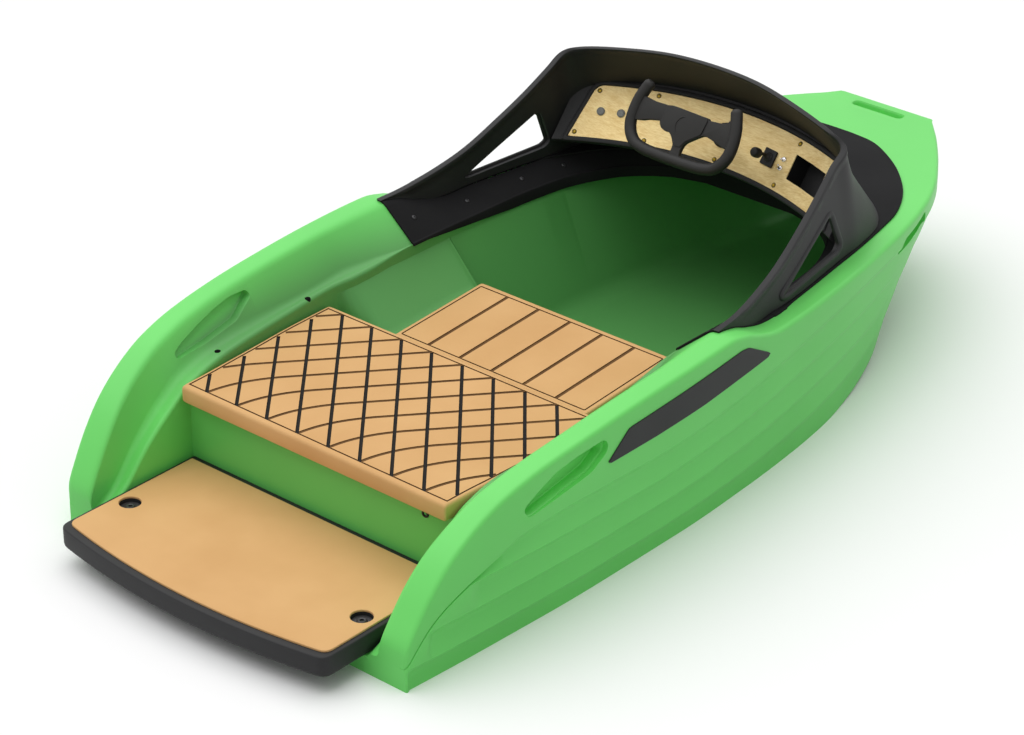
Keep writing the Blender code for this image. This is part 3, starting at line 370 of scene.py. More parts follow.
def lathe(profile, origin, axis, steps=32):
    """Profile of (radius, distance) turned about an axis; a zero radius closes it."""
    turn = Vector(axis).to_track_quat("Z", "Y").to_matrix()
    origin = Vector(origin)
    rings = []
    for radius, distance in profile:
        radius = max(radius, 1e-5)
        angles = [2 * pi * s / steps for s in range(steps)]
        rings.append([origin + turn @ Vector((radius * cos(t), radius * sin(t), distance)) for t in angles])
    return loft(rings)


def rod(radius, low, high, origin, axis, steps):
    return lathe([(0, low), (radius, low), (radius, high), (0, high)], origin, axis, steps)


def prism(outline, low, high, axis="z"):
    """Outline carried from low to high along an axis."""
    order = {"z": (0, 1, 2), "x": (2, 0, 1), "y": (0, 2, 1)}[axis]
    return loft([[[(a, b, level)[i] for i in order] for a, b in outline] for level in (low, high)])


def block(low, high):
    (x1, y1, z1), (x2, y2, z2) = low, high
    return prism([(x1, y1), (x2, y1), (x2, y2), (x1, y2)], z1, z2)


def bend(here, before, after, radius, share, count):
    """Points of a corner rounded between its two edges, over a share of each at most."""
    here = Vector(here[:2])
    before = Vector(before[:2]) - here
    after = Vector(after[:2]) - here
    reach = min(radius, share * before.length, share * after.length)
    start = here + before.normalized() * reach
    end = here + after.normalized() * reach
    points = []
    for k in range(count):
        t = k / (count - 1)
        p = start * (1 - t) ** 2 + here * (2 * t * (1 - t)) + end * t * t
        points.append((p.x, p.y))
    return points


def rounded(corners):
    """Polyline with its corners rounded: each corner is (a, b, radius, points)."""
    points = []
    for i, (a, b, radius, count) in enumerate(corners):
        if i in (0, len(corners) - 1) or count < 2:
            points.append((a, b))
        else:
            points += bend((a, b), corners[i - 1], corners[i + 1], radius, 0.46, count)
    return points


def round_outline(corners, radius, count=6):
    """Closed outline with rounded corners; a corner may carry its own radius."""
    points = []
    for i, corner in enumerate(corners):
        own = corner[2] if len(corner) > 2 else radius
        if own == 0.0:
            points.append(tuple(Vector(corner[:2])))
        else:
            points += bend(corner, corners[i - 1], corners[(i + 1) % len(corners)], own, 0.48, count)
    return points


def inset(outline, depth):
    """Outline moved inward by depth."""
    area = sum(a[0] * b[1] - b[0] * a[1] for a, b in zip(outline, outline[1:] + outline[:1]))
    turn = 1.0 if area > 0 else -1.0
    made = []
    for i, here in enumerate(outline):
        here = Vector(here)
        before = here - Vector(outline[i - 1])
        after = Vector(outline[(i + 1) % len(outline)]) - here
        if before.length < 1e-9:
            before = after
        if after.length < 1e-9:
            after = before
        first = Vector((-before.y, before.x)).normalized() * turn
        second = Vector((-after.y, after.x)).normalized() * turn
        way = (first + second).normalized()
        made.append(tuple(here + way * depth * (1.0 / max(0.5, way.dot(first)))))
    return made


def as_drawn(a, b, level):
    return a, b, level


def slab(outline, low, high, top_round, low_round, place, steps=4):
    """Plate with rounded edges; place turns (a, b, level) into a point."""
    turns = [pi / 2 * k / steps for k in range(steps + 1)]
    levels = [(low + low_round * (1 - cos(t)), low_round * (1 - sin(t))) for t in turns]
    if low_round == 0.0:
        levels = [(low, 0.0)]
    if top_round == 0.0:
        levels.append((high, 0.0))
    else:
        levels += [(high - top_round * (1 - sin(t)), top_round * (1 - cos(t))) for t in turns]
    made = []
    for level, margin in levels:
        ring = inset(outline, margin) if margin > 1e-9 else outline
        made.append([place(a, b, level) for a, b in ring])
    return loft(made)


def sweep(path, section, up=(0, 0, 1), closed=False, scale=None):
    """Section of (side, up) points carried along a path."""
    path = [Vector(p) for p in path]
    up = Vector(up)
    rings = []
    total = len(path)
    for i, point in enumerate(path):
        if closed:
            ahead = path[(i + 1) % total] - path[i - 1]
        else:
            ahead = path[min(i + 1, total - 1)] - path[max(i - 1, 0)]
        ahead.normalize()
        side = ahead.cross(up).normalized()
        rise = side.cross(ahead).normalized()
        factor = 1.0 if scale is None else scale[i]
        rings.append([point + side * (a * factor) + rise * (b * factor) for a, b in section])
    if closed:
        return loft(rings + rings[:1], caps=False)
    return loft(rings)


def circle(radius, steps):
    angles = [2 * pi * s / steps for s in range(steps)]
    return [(radius * cos(t), radius * sin(t)) for t in angles]


def groove_round(outline, half_width, low, high, place):
    """Groove tool along a closed outline."""
    lines = inset(outline, -half_width), inset(outline, half_width)
    verts = [place(x, y, z) for z in (low, high) for line in lines for x, y in line]
    total = len(outline)
    faces = []
    for a in range(total):
        b = (a + 1) % total
        c, d = total + a, total + b
        e, f, g, h = (corner + 2 * total for corner in (a, b, c, d))
        faces += [(a, b, d, c), (e, f, h, g), (a, b, f, e), (c, d, h, g)]
    return verts, faces


def join(*shapes):
    """Several shapes as one."""
    verts, faces = [], []
    for more, more_faces in shapes:
        start = len(verts)
        verts += list(more)
        faces += [tuple(i + start for i in face) for face in more_faces]
    return verts, faces


# Hull and deck in one green moulding


def coaming(y):
    """Sheer, gunwale's inner edge, ledge's outer edge, inner edge and height, and the lip under it."""
    ledge, inner = along(LEDGE_HEIGHT, y), along(LEDGE_INNER, y)
    outer = max(along(LEDGE_OUTER, y), inner + 0.002)
    return along(SHEER_HEIGHT, y), along(GUNWALE_INNER, y), outer, inner, ledge, min(ledge - 0.025, 0.222)


def section(y):
    """Half a section from the keel to the middle of the inside, with where its top and its lip lie."""
    chine = along(CHINE_HALF_BREADTH, y)
    chine_z = along(CHINE_HEIGHT, y)
    half = along(SHEER_HALF_BREADTH, y)
    band = along(BAND_HEIGHT, y)
    high, gunwale, outer, inner, ledge, lip = coaming(y)
    flat = 0.036 * min(1.0, chine / 0.4)
    corners = [(0.0, along(KEEL_HEIGHT, y), 0, 1), (chine - flat, chine_z - 0.002, 0.02, 4),
               (chine, chine_z, 0.006, 4)]
    rise = (band - chine_z) / STRAKES if y > 0.3 else STRAKE_RISE
    below = chine_z + 0.002
    for k in range(1, STRAKES + 1):
        stop = band - 0.0035 * (STRAKES - k)
        free = chine_z + rise * k if k < STRAKES else band
        fade = min(1.0, max(0.0, (stop - free) / 0.014)) if k < STRAKES else 1.0
        z = min(free, stop)
        x = chine + (half - chine) * (z - chine_z) / (band - chine_z)
        cove = min(0.034, 0.45 * (z - below))
        corners += [(x - STRAKE_STEP * fade * out, z - cove * down, 0, 1) for out, down in STRAKE_COVE]
        corners.append((x, z + 0.0003 + 0.002 * fade, 0.001, 3))
        below = z
    floor = along(FLOOR_HEIGHT, y)
    wall = max(along(WALL_TOP_HALF_WIDTH, y), inner + 0.0004) if y > 1.2 else inner - 0.0002
    corners += [(half, high, min(GUNWALE_EDGE, 0.45 * (high - band)), 9), (gunwale, high, 0.016, 7),
                (outer, ledge, 0.018, 6), (inner, ledge, 0.012, 6)]
    top = len(rounded(corners[:-3] + [(gunwale, high, 0, 1)])) - 1
    corners += [(inner, lip, 0.002, 2), (wall, lip - 0.001, 0.002, 2)]
    lip_at = len(rounded(corners)) - 1
    deep = min(0.035, max(0.004, 0.25 * (lip - floor)))
    corners.append((min(along(FLOOR_HALF_WIDTH, y), wall), floor, 0.004 if y < 0.5 else deep, 6))
    corners.append((0.0, floor, 0, 1))
    return rounded(corners), top, lip_at


def full(points):
    return points + [(-x, z) for x, z in reversed(points[1:-1])]


def make_moulding():
    spans = (STERN_Y, 0.0, 34), (0.0, MOUTH_END_Y, 150), (MOUTH_END_Y, BOW_Y, 52)
    ys = sorted(set(MOULDING_STATIONS).union(*(np.linspace(*span) for span in spans)))
    ys = [y for i, y in enumerate(ys) if i == 0 or y - ys[i - 1] > 2e-4]
    bow_ys = [y for y in ys if y > MOUTH_END_Y + 1e-9]
    _, top, lip_at = section(1.0)
    verts, faces, starts = [], [], []

    def bridge(a, b, size):
        for j in range(size):
            k = (j + 1) % size
            faces.append((a + j, a + k, b + k, b + j))

    for y in ys[:len(ys) - len(bow_ys)]:
        starts.append(len(verts))
        ring = full(section(y)[0])
        verts.extend((x, y, z) for x, z in ring)
    loop, last = len(ring), starts[-1]
    for a, b in zip(starts, starts[1:]):
        bridge(a, b, loop)
    faces.append(tuple(starts[0] + j for j in range(loop)))

    def port(j):
        return last + (loop - j) % loop

    def carry_on(rows, first, tip):
        """Rings on from the mouth's last one, from its point first, closed by a cap."""
        previous = None
        for y, points in rows:
            start, span = len(verts), len(points) - 1
            size = 2 * span
            verts.extend((x, y, z) for x, z in full(points))
            if previous is None:
                for j in range(span):
                    here = first + j
                    faces.append((last + here, last + here + 1, start + j + 1, start + j))
                    near = start + (size - j) % size
                    faces.append((port(here), port(here + 1), start + size - j - 1, near))
                faces.append((last + tip, port(tip), start + tip - first))
            else:
                bridge(previous, start, size)
            previous = start
        faces.append(tuple(previous + j for j in range(size)))

    # Outer skin past the cockpit, closed over the foredeck and drawn in at the bow
    rows = []
    for y in sorted(set(bow_ys[:-1] + [BOW_Y - 0.012, BOW_Y - 0.005, BOW_Y - 0.001, BOW_Y])):
        points = section(y)[0][:top + 1]
        points[-1] = (0.0, along(SHEER_HEIGHT, y))
        shrink = max(0.0, 1.0 - (BOW_Y - y) / BOW_ROUND)
        factor = 1.0 - 0.1 * (1.0 - sqrt(1.0 - shrink * shrink))
        rows.append((y, [(x * factor, BOW_CENTRE_Z + (z - BOW_CENTRE_Z) * factor) for x, z in points]))
    carry_on(rows, 0, top)
    # Front wall of the cockpit's mouth, then the nose of the footwell
    for j in range(top, lip_at):
        faces.append((last + j, last + j + 1, port(j + 1), port(j)))
    rows = [(y, [(0.0, 0.222)] + section(y)[0][lip_at + 1:]) for y in bow_ys if y < NOSE_END_Y]
    rows.append((NOSE_END_Y, [(0.0, 0.222)] + section(NOSE_END_Y)[0][lip_at + 1:]))
    carry_on(rows, lip_at, lip_at)
    return verts, faces


moulding = mesh_object("green_moulding", make_moulding(), "green_gelcoat", 28.0)

# Grips, dimples and tunnels on both sides
rooms, dimples = [], []


def cutter(corners, radius, levels, place):
    """Tool through levels, each with its own margin; place turns (a, b, level) into a point."""
    outline = round_outline(corners, radius, 5)
    return loft([[place(a, b, level) for a, b in inset(outline, margin)] for level, margin in levels])


for name, side in SIDES:
    rooms.append(cutter(OUTER_GRIP, 0.008, OUTER_GRIP_LEVELS, lambda y, z, x: (side * x, y, z)))
    rooms.append(cutter(INNER_GRIP, 0.01, INNER_GRIP_LEVELS,
                        lambda y, z, depth: (side * (0.448 + (z - 0.209) * 0.55 + depth), y, z)))
    rooms.append(cutter(BOW_GRIP, 0.008, BOW_GRIP_LEVELS,
                        lambda y, z, depth: (side * (along(SHEER_HALF_BREADTH, y) - 0.0041 + depth), y, z)))
    for x, y in ((0.428, 0.128), (0.433, 0.424)):
        dimples.append(lathe([(0, -0.011), (0.0066, -0.011), (0.007, -0.004), (0.008, 0.012), (0, 0.012)],
                             (side * x, y, along(LEDGE_HEIGHT, y)), (0, 0, 1), 24))
    rooms.append(prism([(side * a, b) for a, b in TUNNEL], STERN_Y - 0.05, TRANSOM_Y, "y"))

# Tow slot, jet recess, bore, intake, shaft hole, machinery bay and its well
rooms.append(cutter(TOW_SLOT, 0.01, TOW_SLOT_LEVELS, as_drawn))
rooms.append(block((-0.072, STERN_Y - 0.05, -0.19), (0.072, TRANSOM_Y, -0.08)))
rooms.append(rod(0.045, 0, 0.236, (0, -0.2, JET_Z), (0, 1, 0), 36))
rooms.append(block((-0.034, -0.07, -0.3), (0.034, 0.03, JET_Z)))
rooms.append(rod(0.013, 0, 0.06, (0, 0.0, JET_Z), (0, 1, 0), 18))
rooms.append(block((-0.3, 0.045, -0.098), (0.3, 0.462, 0.16)))
rooms.append(block((-0.066, 0.045, -0.1904), (0.066, 0.27, 0.0)))
carve(moulding, rooms, smooth=30.0)
# The ledge dimples are painted black: painted shade in these small recesses
carve(moulding, [join(*dimples)], paint="black_moulding", smooth=30.0)
# Painted shade: each point's share of the darker green, from how far it lies below the sheer inside the
# cockpit
painted_shade_mark = moulding.data.attributes.new("painted_shade_depth", "FLOAT", "POINT")
for vertex, mark in zip(moulding.data.vertices, painted_shade_mark.data):
    x, y, z = vertex.co - ZERO
    reach = along(GUNWALE_INNER, y) + 0.002
    low = -0.1
    if y > 1.06:
        reach = max(reach, along(WALL_TOP_HALF_WIDTH, y) + 0.006)
    if y > 1.2:
        low = along(FLOOR_HEIGHT, y) - 0.006
    if abs(x) < reach and z > low and y < NOSE_END_Y + 0.001:
        deep = min(1.0, max(0.0, (along(SHEER_HEIGHT, y) - 0.004 - z) / 0.06))
        mark.value = deep * min(1.0, max(0.0, (y + 0.06) / 0.2))
settle(moulding, "green_gelcoat", "hull", "deck")

# Stern platform, its pad and the two latch cups
LATCHES = mm((-350, -228), (350, -228))
LATCH_CUP = mm(
    (0, 0.4), (23.6, 0.4), (23.8, 4), (22.5, 5), (12, 5.2), (10.5, 7), (9, 8.5), (6, 8.8), (4.5, 8),
    (4.2, 4.5), (0, 4.5),
)
CUP_HOLE = mm((0, -12), (24.2, -12), (24.5, 20), (0, 20))
PAD_HOLE = mm((0, -30), (25, -30), (25, 3.5), (26.2, 5.2), (30, 20), (0, 20))


def platform_outline(margin, corner, fore, aft):
    """Outline whose aft edge bows out by 40 mm."""
    half = 0.4 - margin
    points = [(half, fore, 0.004), (half, aft, corner)]
    for k in range(1, 16):
        x = half * (1 - k / 8)
        points.append((x, aft - 0.04 * (1 - (x / half) ** 2), 0.0))
    return round_outline(points + [(-half, aft, corner), (-half, fore, 0.004)], 0.0)


shape = slab(platform_outline(0.0, 0.03, 0.015, -0.391), -0.057, -0.005, 0.004, 0.012, as_drawn)
platform = mesh_object("platform_body", shape, "black_moulding")
carve(platform, [lathe(CUP_HOLE, (x, y, -0.005), (0, 0, 1), 36) for x, y in LATCHES])
settle(platform, "black_moulding", "stern_platform")
shape = slab(platform_outline(0.012, 0.02, -0.003, -0.373), -0.0046, 0.0, 0.0016, 0.0, as_drawn)
pad = mesh_object("platform_pad_sheet", shape, "tan_foam")
carve(pad, [lathe(PAD_HOLE, (x, y, -0.005), (0, 0, 1), 40) for x, y in LATCHES], smooth=30.0)
settle(pad, "tan_foam", "platform_pad")
for (name, side), (x, y) in zip(SIDES, LATCHES):
    cup = lathe(LATCH_CUP, (x, y, -0.017), (0, 0, 1), 40)
    piece("latch_cup_" + name, cup, "dark_steel", "latch_" + name)

# Hatch lid: foam with black and brown grooves
LID_TOP, LID_LOW, LID_AFT_Y, LID_FORE_Y = 0.189, 0.148, -0.018, 0.478
LID_HALF = mm((-18, 396), (50, 397.5), (125, 402), (219, 407.5), (344, 415.5), (478, 418))
# Level, how far in the sides lie, how far in the aft edge lies
LID_LEVELS = [(LID_LOW + a, b, c) for a, b, c in mm((0, 4, 3), (3, 1, 1), (5, 0, 0))]
LID_LEVELS += [(LID_TOP - a, b, c) for a, b, c in mm(
    (9, 0, 0), (5.5, 0.5, 0.7), (2.7, 1.7, 2.2), (0.8, 3.5, 4.6), (0, 5.6, 7.5))]
GROOVE_LOW_Y, GROOVE_HIGH_Y, GROOVE_SLOPE = -0.001, 0.464, 1.158
GROOVE_FIRST_X, GROOVE_STEP = -0.361, 0.0929
HINGE_X, HINGE_PIN = 0.24, (0.489, 0.154)


def lid_ring(level, margin, nose):
    aft = LID_AFT_Y + nose
    corners = [(along(LID_HALF, aft) - margin - 0.001, aft, 0.006)]
    corners += [(along(LID_HALF, y) - margin, y, 0.0) for y in np.linspace(0.02, 0.46, 14)]
    corners += [(along(LID_HALF, LID_FORE_Y) - margin, LID_FORE_Y - margin, 0.007)]
    corners += [(-x, y, radius) for x, y, radius in reversed(corners)]
    return [(x, y, level) for x, y in round_outline(corners, 0.0)]


def groove_limit(y):
    return along(LID_HALF, y) - 0.0112


def ribbon(path, width, low, high):
    """Straight-sided groove tool along a path on the level."""
    path = [Vector(p) for p in path]
    rings = []
    for i, p in enumerate(path):
        ahead = (path[min(i + 1, len(path) - 1)] - path[max(i - 1, 0)]).normalized()
        side = Vector((-ahead.y, ahead.x)) * width / 2
        l, r = p + side, p - side
        rings.append([(l.x, l.y, low), (r.x, r.y, low), (r.x, r.y, high), (l.x, l.y, high)])
    return loft(rings)


lid = mesh_object("hatch_pad", loft([lid_ring(*row) for row in LID_LEVELS]), "tan_foam")
black_grooves, brown_grooves = [], []
ys = list(np.linspace(GROOVE_HIGH_Y, GROOVE_LOW_Y, 60))
for k in range(-9, 12):
    x = GROOVE_FIRST_X + GROOVE_STEP * k
    straight = [(x + (GROOVE_HIGH_Y - y) / GROOVE_SLOPE, y) for y in ys]
    bent = [(x, ys[0])]
    for before, y in zip(ys, ys[1:]):
        x -= (before - y) / GROOVE_SLOPE * min(1.0, max(0.2, 0.2 + 0.8 * (y - 0.005) / 0.16))
        bent.append((x, y))
    for path, tools, width, depth, above in ((straight, black_grooves, 0.0082, 0.0032, 0.004),
                                             (bent, brown_grooves, 0.0094, 0.0018, 0.003)):
        path = [p for p in path if abs(p[0]) <= groove_limit(p[1]) + 1e-6]
        if len(path) > 3:
            tools.append(ribbon(path, width, LID_TOP - depth, LID_TOP + above))
border = [(groove_limit(y), y) for y in np.linspace(GROOVE_LOW_Y, GROOVE_HIGH_Y, 24)]
border += [(-x, y) for x, y in reversed(border)]
# The brown in these grooves and in the border groove is painted shade
carve(lid, [join(*brown_grooves)], paint="groove_brown")
carve(lid, [join(*black_grooves)], paint="groove_black")
edge_tool = groove_round(border, 0.0022, LID_TOP - 0.002, LID_TOP + 0.003, as_drawn)
carve(lid, [edge_tool], paint="groove_brown", smooth=30.0)
settle(lid, "tan_foam", "hatch_lid", body="hatch")
leaves = []
for name, side in SIDES:
    x, size = side * HINGE_X, 24
    verts, faces = lathe([(0.0046, -0.012), (0.0075, -0.012), (0.0075, 0.012), (0.0046, 0.012)],
                         (x, *HINGE_PIN), (1, 0, 0), size)
    faces = [face for face in faces if len(face) < 5]
    faces += [(3 * size + s, 3 * size + (s + 1) % size, (s + 1) % size, s) for s in range(size)]
    leaves += [(verts, faces), block((x - 0.01, 0.466, LID_LOW + 0.001), (x + 0.01, 0.4835, LID_LOW + 0.007))]
piece("hatch_knuckles", join(*leaves), "dark_steel", body="hatch")

# Slatted seat pad
SEAT_AFT_Y, SEAT_FORE_Y, SEAT_AFT_Z, SEAT_FORE_Z = 0.56, 0.868, 0.124, 0.142
SEAT_GROOVE = mm((-5.2, 4), (-4.6, -2.2), (4.6, -2.2), (5.2, 4))


def on_seat(a, b, level):
    share = (b - SEAT_AFT_Y) / (SEAT_FORE_Y - SEAT_AFT_Y)
    return a, b, SEAT_AFT_Z + share * (SEAT_FORE_Z - SEAT_AFT_Z) + level


outline = round_outline([(-0.29, SEAT_AFT_Y), (0.29, SEAT_AFT_Y), (0.29, SEAT_FORE_Y, 0.01),
                         (-0.29, SEAT_FORE_Y, 0.01)], 0.006, 6)
seat = mesh_object("seat_pad_slats", slab(outline, -0.0196, 0.0, 0.005, 0.0, on_seat, 5), "tan_foam")
grooves = []
for k in range(-2, 3):
    grooves.append(loft([[on_seat(0.0965 * k + dx, y, level) for dx, level in SEAT_GROOVE]
                         for y in np.linspace(0.574, 0.85, 10)]))
# The brown in the grooves between the slats and in the border groove is painted shade
carve(seat, [join(*grooves)], paint="groove_brown")
outline = round_outline([(-0.2775, 0.573), (0.2775, 0.573), (0.2775, 0.852), (-0.2775, 0.852)], 0.004, 4)
carve(seat, [groove_round(outline, 0.002, -0.0022, 0.004, on_seat)], paint="groove_brown", smooth=30.0)
settle(seat, "tan_foam", "seat_pad")

# Foredeck panel
PANEL_LOW = along(SHEER_HEIGHT, 0.97) + 0.0006
COCKPIT_MOUTH = mm(
    (0, 800), (486, 800), (486, 970), (471, 1100), (449, 1250), (372, 1400), (270, 1500), (150, 1540),
    (0, 1545),
)
rows = [(0.502, 0.97)] + [p for p in FOREDECK_OUTLINE if p[1] > 0.98]
line = []
for i in range(len(rows) - 1):
    p0, p1, p2, p3 = rows[max(i - 1, 0)], rows[i], rows[i + 1], rows[min(i + 2, len(rows) - 1)]
    for s in range(6):
        t = s / 6
        line.append(tuple(
            0.5 * (2 * p1[c] + (p2[c] - p0[c]) * t + (2 * p0[c] - 5 * p1[c] + 4 * p2[c] - p3[c]) * t * t
                   + (3 * p1[c] - p0[c] - 3 * p2[c] + p3[c]) * t ** 3) for c in (0, 1)))
line.append(rows[-1])
outline = line + [(-x, y) for x, y in reversed(line[:-1])]
shape = slab(outline, PANEL_LOW, PANEL_LOW + 0.004, 0.0015, 0.0, as_drawn)
panel = mesh_object("foredeck_cover", shape, "foredeck_black")
outline = COCKPIT_MOUTH + [(-x, y) for x, y in reversed(COCKPIT_MOUTH) if x > 1e-9]
carve(panel, [prism(round_outline(outline, 0.05, 5), 0.2, 0.4)])
settle(panel, "black_moulding", "foredeck_panel")

# Flange at the windscreen's foot, from the cover aft to its tail
FOOT_LINE = [(row[1], row[0]) for row in COWL_STATIONS[:9]]
FLANGE = mm((-14, 0.3), (1.5, 0.3), (1.5, 2.8), (0.2, 3.8), (-14, 3.8))
flanges = []
for name, side in SIDES:
    flanges.append(loft([[(side * (along(FOOT_LINE, y) + out), y, along(SHEER_HEIGHT, y) + level)
                          for out, level in FLANGE] for y in np.linspace(0.747, 1.02, 24)]))
piece("windscreen_flange", join(*flanges), "foredeck_black", slot="black_moulding")

# Windscreen cowl: depth below the rim and offset inward of its edge
COWL_RIM = mm(
    (30, 0), (15, -0.4), (12.5, -2), (2.6, -2.2), (0.7, -1.4), (0, 0.4), (0, 6.5), (0, 12.6), (0.7, 14.2),
    (2.6, 15), (12.5, 14.8), (15, 13.2), (30, 12),
)


def curve_through(rows, steps):
    """Smooth curve through rows, spaced by how far apart they are."""
    rows = [np.array(r, float) for r in rows]
    made = []
    for i in range(len(rows) - 1):
        p1, p2 = rows[i], rows[i + 1]
        p0 = rows[i - 1] if i else 2 * p1 - p2
        p3 = rows[i + 2] if i + 2 < len(rows) else 2 * p2 - p1
        d1, d2, d3 = (max(np.linalg.norm(b - a), 1e-6) ** 0.5 for a, b in ((p0, p1), (p1, p2), (p2, p3)))
        m1 = (p1 - p0) / d1 - (p2 - p0) / (d1 + d2) + (p2 - p1) / d2
        m2 = (p2 - p1) / d2 - (p3 - p1) / (d2 + d3) + (p3 - p2) / d3
        m1, m2 = m1 * d2, m2 * d2
        for s in range(steps):
            t = s / steps
            made.append((2 * t ** 3 - 3 * t ** 2 + 1) * p1 + (t ** 3 - 2 * t ** 2 + t) * m1
                        + (-2 * t ** 3 + 3 * t ** 2) * p2 + (t ** 3 - t ** 2) * m2)
    made.append(rows[-1])
    return made


def foot_shift(y):
    """How far inboard of the drawn line the windscreen's foot stands."""
    t = min(1.0, max(0.0, (y - 0.86) / 0.12))
    return 0.01 * t * t * (3 - 2 * t)


rows = [(-a, b, -c, d, e) for a, b, c, d, e in COWL_STATIONS] + list(reversed(COWL_STATIONS))[1:]
cowl_line = curve_through(rows, 7)
cowl_rings, beyond_cowl = [], []
feet = [Vector((row[0], row[1], 0)) for row in cowl_line]
for i, row in enumerate(cowl_line):
    foot, rim = feet[i].copy(), Vector(row[2:])
    heading = feet[min(i + 1, len(feet) - 1)] - feet[max(i - 1, 0)]
    inward = Vector((heading.y, -heading.x, 0)).normalized()
    foot += inward * foot_shift(foot.y)
    foot.z = max(along(SHEER_HEIGHT, foot.y) + 0.0006, PANEL_LOW + 0.0042)
    down = (foot - rim).normalized()
    share = min(1.0, (rim.z - foot.z) / 0.045)
    middle = (foot + rim) / 2
    ring = [foot + inward * 0.001, foot - inward * 0.0005 + down * -0.002, middle]
    for depth, offset in COWL_RIM:
        ring.append(rim + down * depth * share + inward * (max(offset, 0.0) if share < 1.0 else offset))
    ring += [middle + inward * 0.012, foot + inward * 0.0125 - down * 0.002, foot + inward * 0.011]
    cowl_rings.append(ring)
    beyond_cowl.append([foot - inward * 0.1, rim - inward * 0.1, rim + inward * 0.004, foot + inward * 0.004])
cowl = mesh_object("cowl_shell", loft(cowl_rings), "black_moulding")


def wall_point(side, y, z, depth):
    """Point in the cowl's wall at y and z."""
    rows = [r for r in cowl_line if r[0] * side > 0.2]
    best = None
    for a, b in zip(rows, rows[1:]):
        for k in range(5):
            r = a + (b - a) * k / 5
            foot_z = max(along(SHEER_HEIGHT, r[1]), PANEL_LOW + 0.004)
            s = (z - foot_z) / max(r[4] - foot_z, 1e-4)
            gap = abs(r[1] + (r[3] - r[1]) * s - y)
            if best is None or gap < best[0]:
                best = (gap, r[0] + (r[2] - r[0]) * s)
    return Vector((best[1] - side * depth, y, z))


outline = round_outline(WINDOW_CORNERS, 0.02, 6)
bead = [(0.0088 * cos(t), 0.005 * sin(t)) for t in np.linspace(0, 2 * pi, 13)[:-1]]
trims = []
for name, side in SIDES:
    carve(cowl, [prism(outline, side * 0.36, side * 0.6, "x")])
    path = [wall_point(side, y, z, 0.006) for y, z in inset(outline, -0.002)]
    trims.append(sweep(path, bead, up=(side, 0, 0), closed=True))
settle(cowl, "black_moulding", "windscreen_cowl")
piece("window_trim", join(*trims), "black_moulding")

# Black lining inside the coaming, with its bolts
LINING_LOW, LINING_HIGH = 0.001, 0.0048
BOLT_YS = (0.8, 0.985, 1.17, 1.3)
BOLT = mm((0, 0), (5.8, 0), (5.5, 1.4), (4.2, 2.4), (2.2, 2.6), (2, 1.2), (0, 1.2))


def gunwale_line(y):
    """Points of the moulding's skin from the windscreen's inner foot down to the ledge."""
    high, gunwale, outer, inner, ledge, lip = coaming(y)
    drop = min(1.0, max(0.0, (y - 0.8) / 0.3))
    tail = ledge - 0.003 - (ledge - 0.003 - lip) * drop
    corners = [(along(SHEER_HALF_BREADTH, y), high, 0, 1), (gunwale, high, 0.016, 7),
               (outer, ledge, 0.018, 6), (inner, ledge, 0.001, 3), (inner, tail, 0, 1)]
    limit = max(along(FOOT_LINE, y) - 0.01 - foot_shift(y), gunwale + 0.001)
    return [(min(x, limit), z) for x, z in rounded(corners)]


for name, side in SIDES:
    rings, bolts = [], []
    for y in np.linspace(0.747, 1.5385, 90):
        skin = gunwale_line(y)
        lifted = []
        for i, (x, z) in enumerate(skin):
            a, b = skin[max(i - 1, 0)], skin[min(i + 1, len(skin) - 1)]
            way = Vector((b[0] - a[0], b[1] - a[1])).normalized()
            lifted.append((x + way.y, z - way.x))
        bottom, top = ([(x + (lx - x) * lift, z + (lz - z) * lift) for (x, z), (lx, lz) in zip(skin, lifted)]
                       for lift in (LINING_LOW, LINING_HIGH))
        rings.append([(side * x, y, z) for x, z in bottom + list(reversed(top))])
    for y in BOLT_YS:
        low = Vector((along(LEDGE_OUTER, y), y, along(LEDGE_HEIGHT, y)))
        high = Vector((along(GUNWALE_INNER, y), y, along(SHEER_HEIGHT, y)))
        rise = (high - low).normalized()
        out = Vector((-rise.z, 0, rise.x))
        spot = low + (high - low) * 0.5 + out * 0.0052
        bolts.append(lathe(BOLT, (side * spot.x, spot.y, spot.z), (side * out.x, out.y, out.z), 18))
    front = block((min(0.0, side * 0.19), 1.534, 0.214), (max(0.0, side * 0.19), 1.5396, 0.2785))
    lining = join(loft(rings), front)
    piece("coaming_lining_" + name, lining, "foredeck_black", "cowl_lining_" + name, slot="black_moulding")
    piece("coaming_bolts_" + name, join(*bolts), "dark_steel")

# Dash and its brass plate
DASH_RING = mm((-18, 0), (158, 0), (158, -25), (-14, -25), (-20, -19), (-20, -3))
DASH_EDGE = mm((-5.5, 0.2), (-5, 4), (-3, 5.5), (3.5, 5.5), (6, 4), (7.5, 0.2))
SCREWS = mm(
    (-377, 3), (-201, 1), (0, 0), (193, 2), (377, 4), (-362, 116), (-215, 119.8), (0, 121), (215, 119.8),
    (362, 116),
)
SCREW = mm((0, -1), (5, -1), (5, 1), (4.2, 2.4), (2.6, 3.4), (1.3, 3.6), (1.2, 2.2), (0, 2.2))
# Radius, level and knurl of a round button
BUTTON = mm(
    (0.01, 0, 0), (10.4, 0, 0), (10.4, 2.2, 0), (9.8, 3, 0), (9.2, 3, 0), (8.8, 2.2, 0), (8.4, 3.4, 0.3),
    (6.2, 4, 0.3), (3, 4, 0), (0.01, 4, 0),
)
BUTTON_STEPS = 48


def dash_frame_at(x):
    """Directions along, up and out of the dash at x."""
    angle = asin(x / DASH_RADIUS)
    lean_sin, lean_cos = sin(DASH_LEAN), cos(DASH_LEAN)
    out = Vector((-sin(angle) * lean_cos, -cos(angle) * lean_cos, lean_sin))
    up = Vector((0.0, lean_sin, lean_cos))
    return up.cross(out).normalized(), up, out


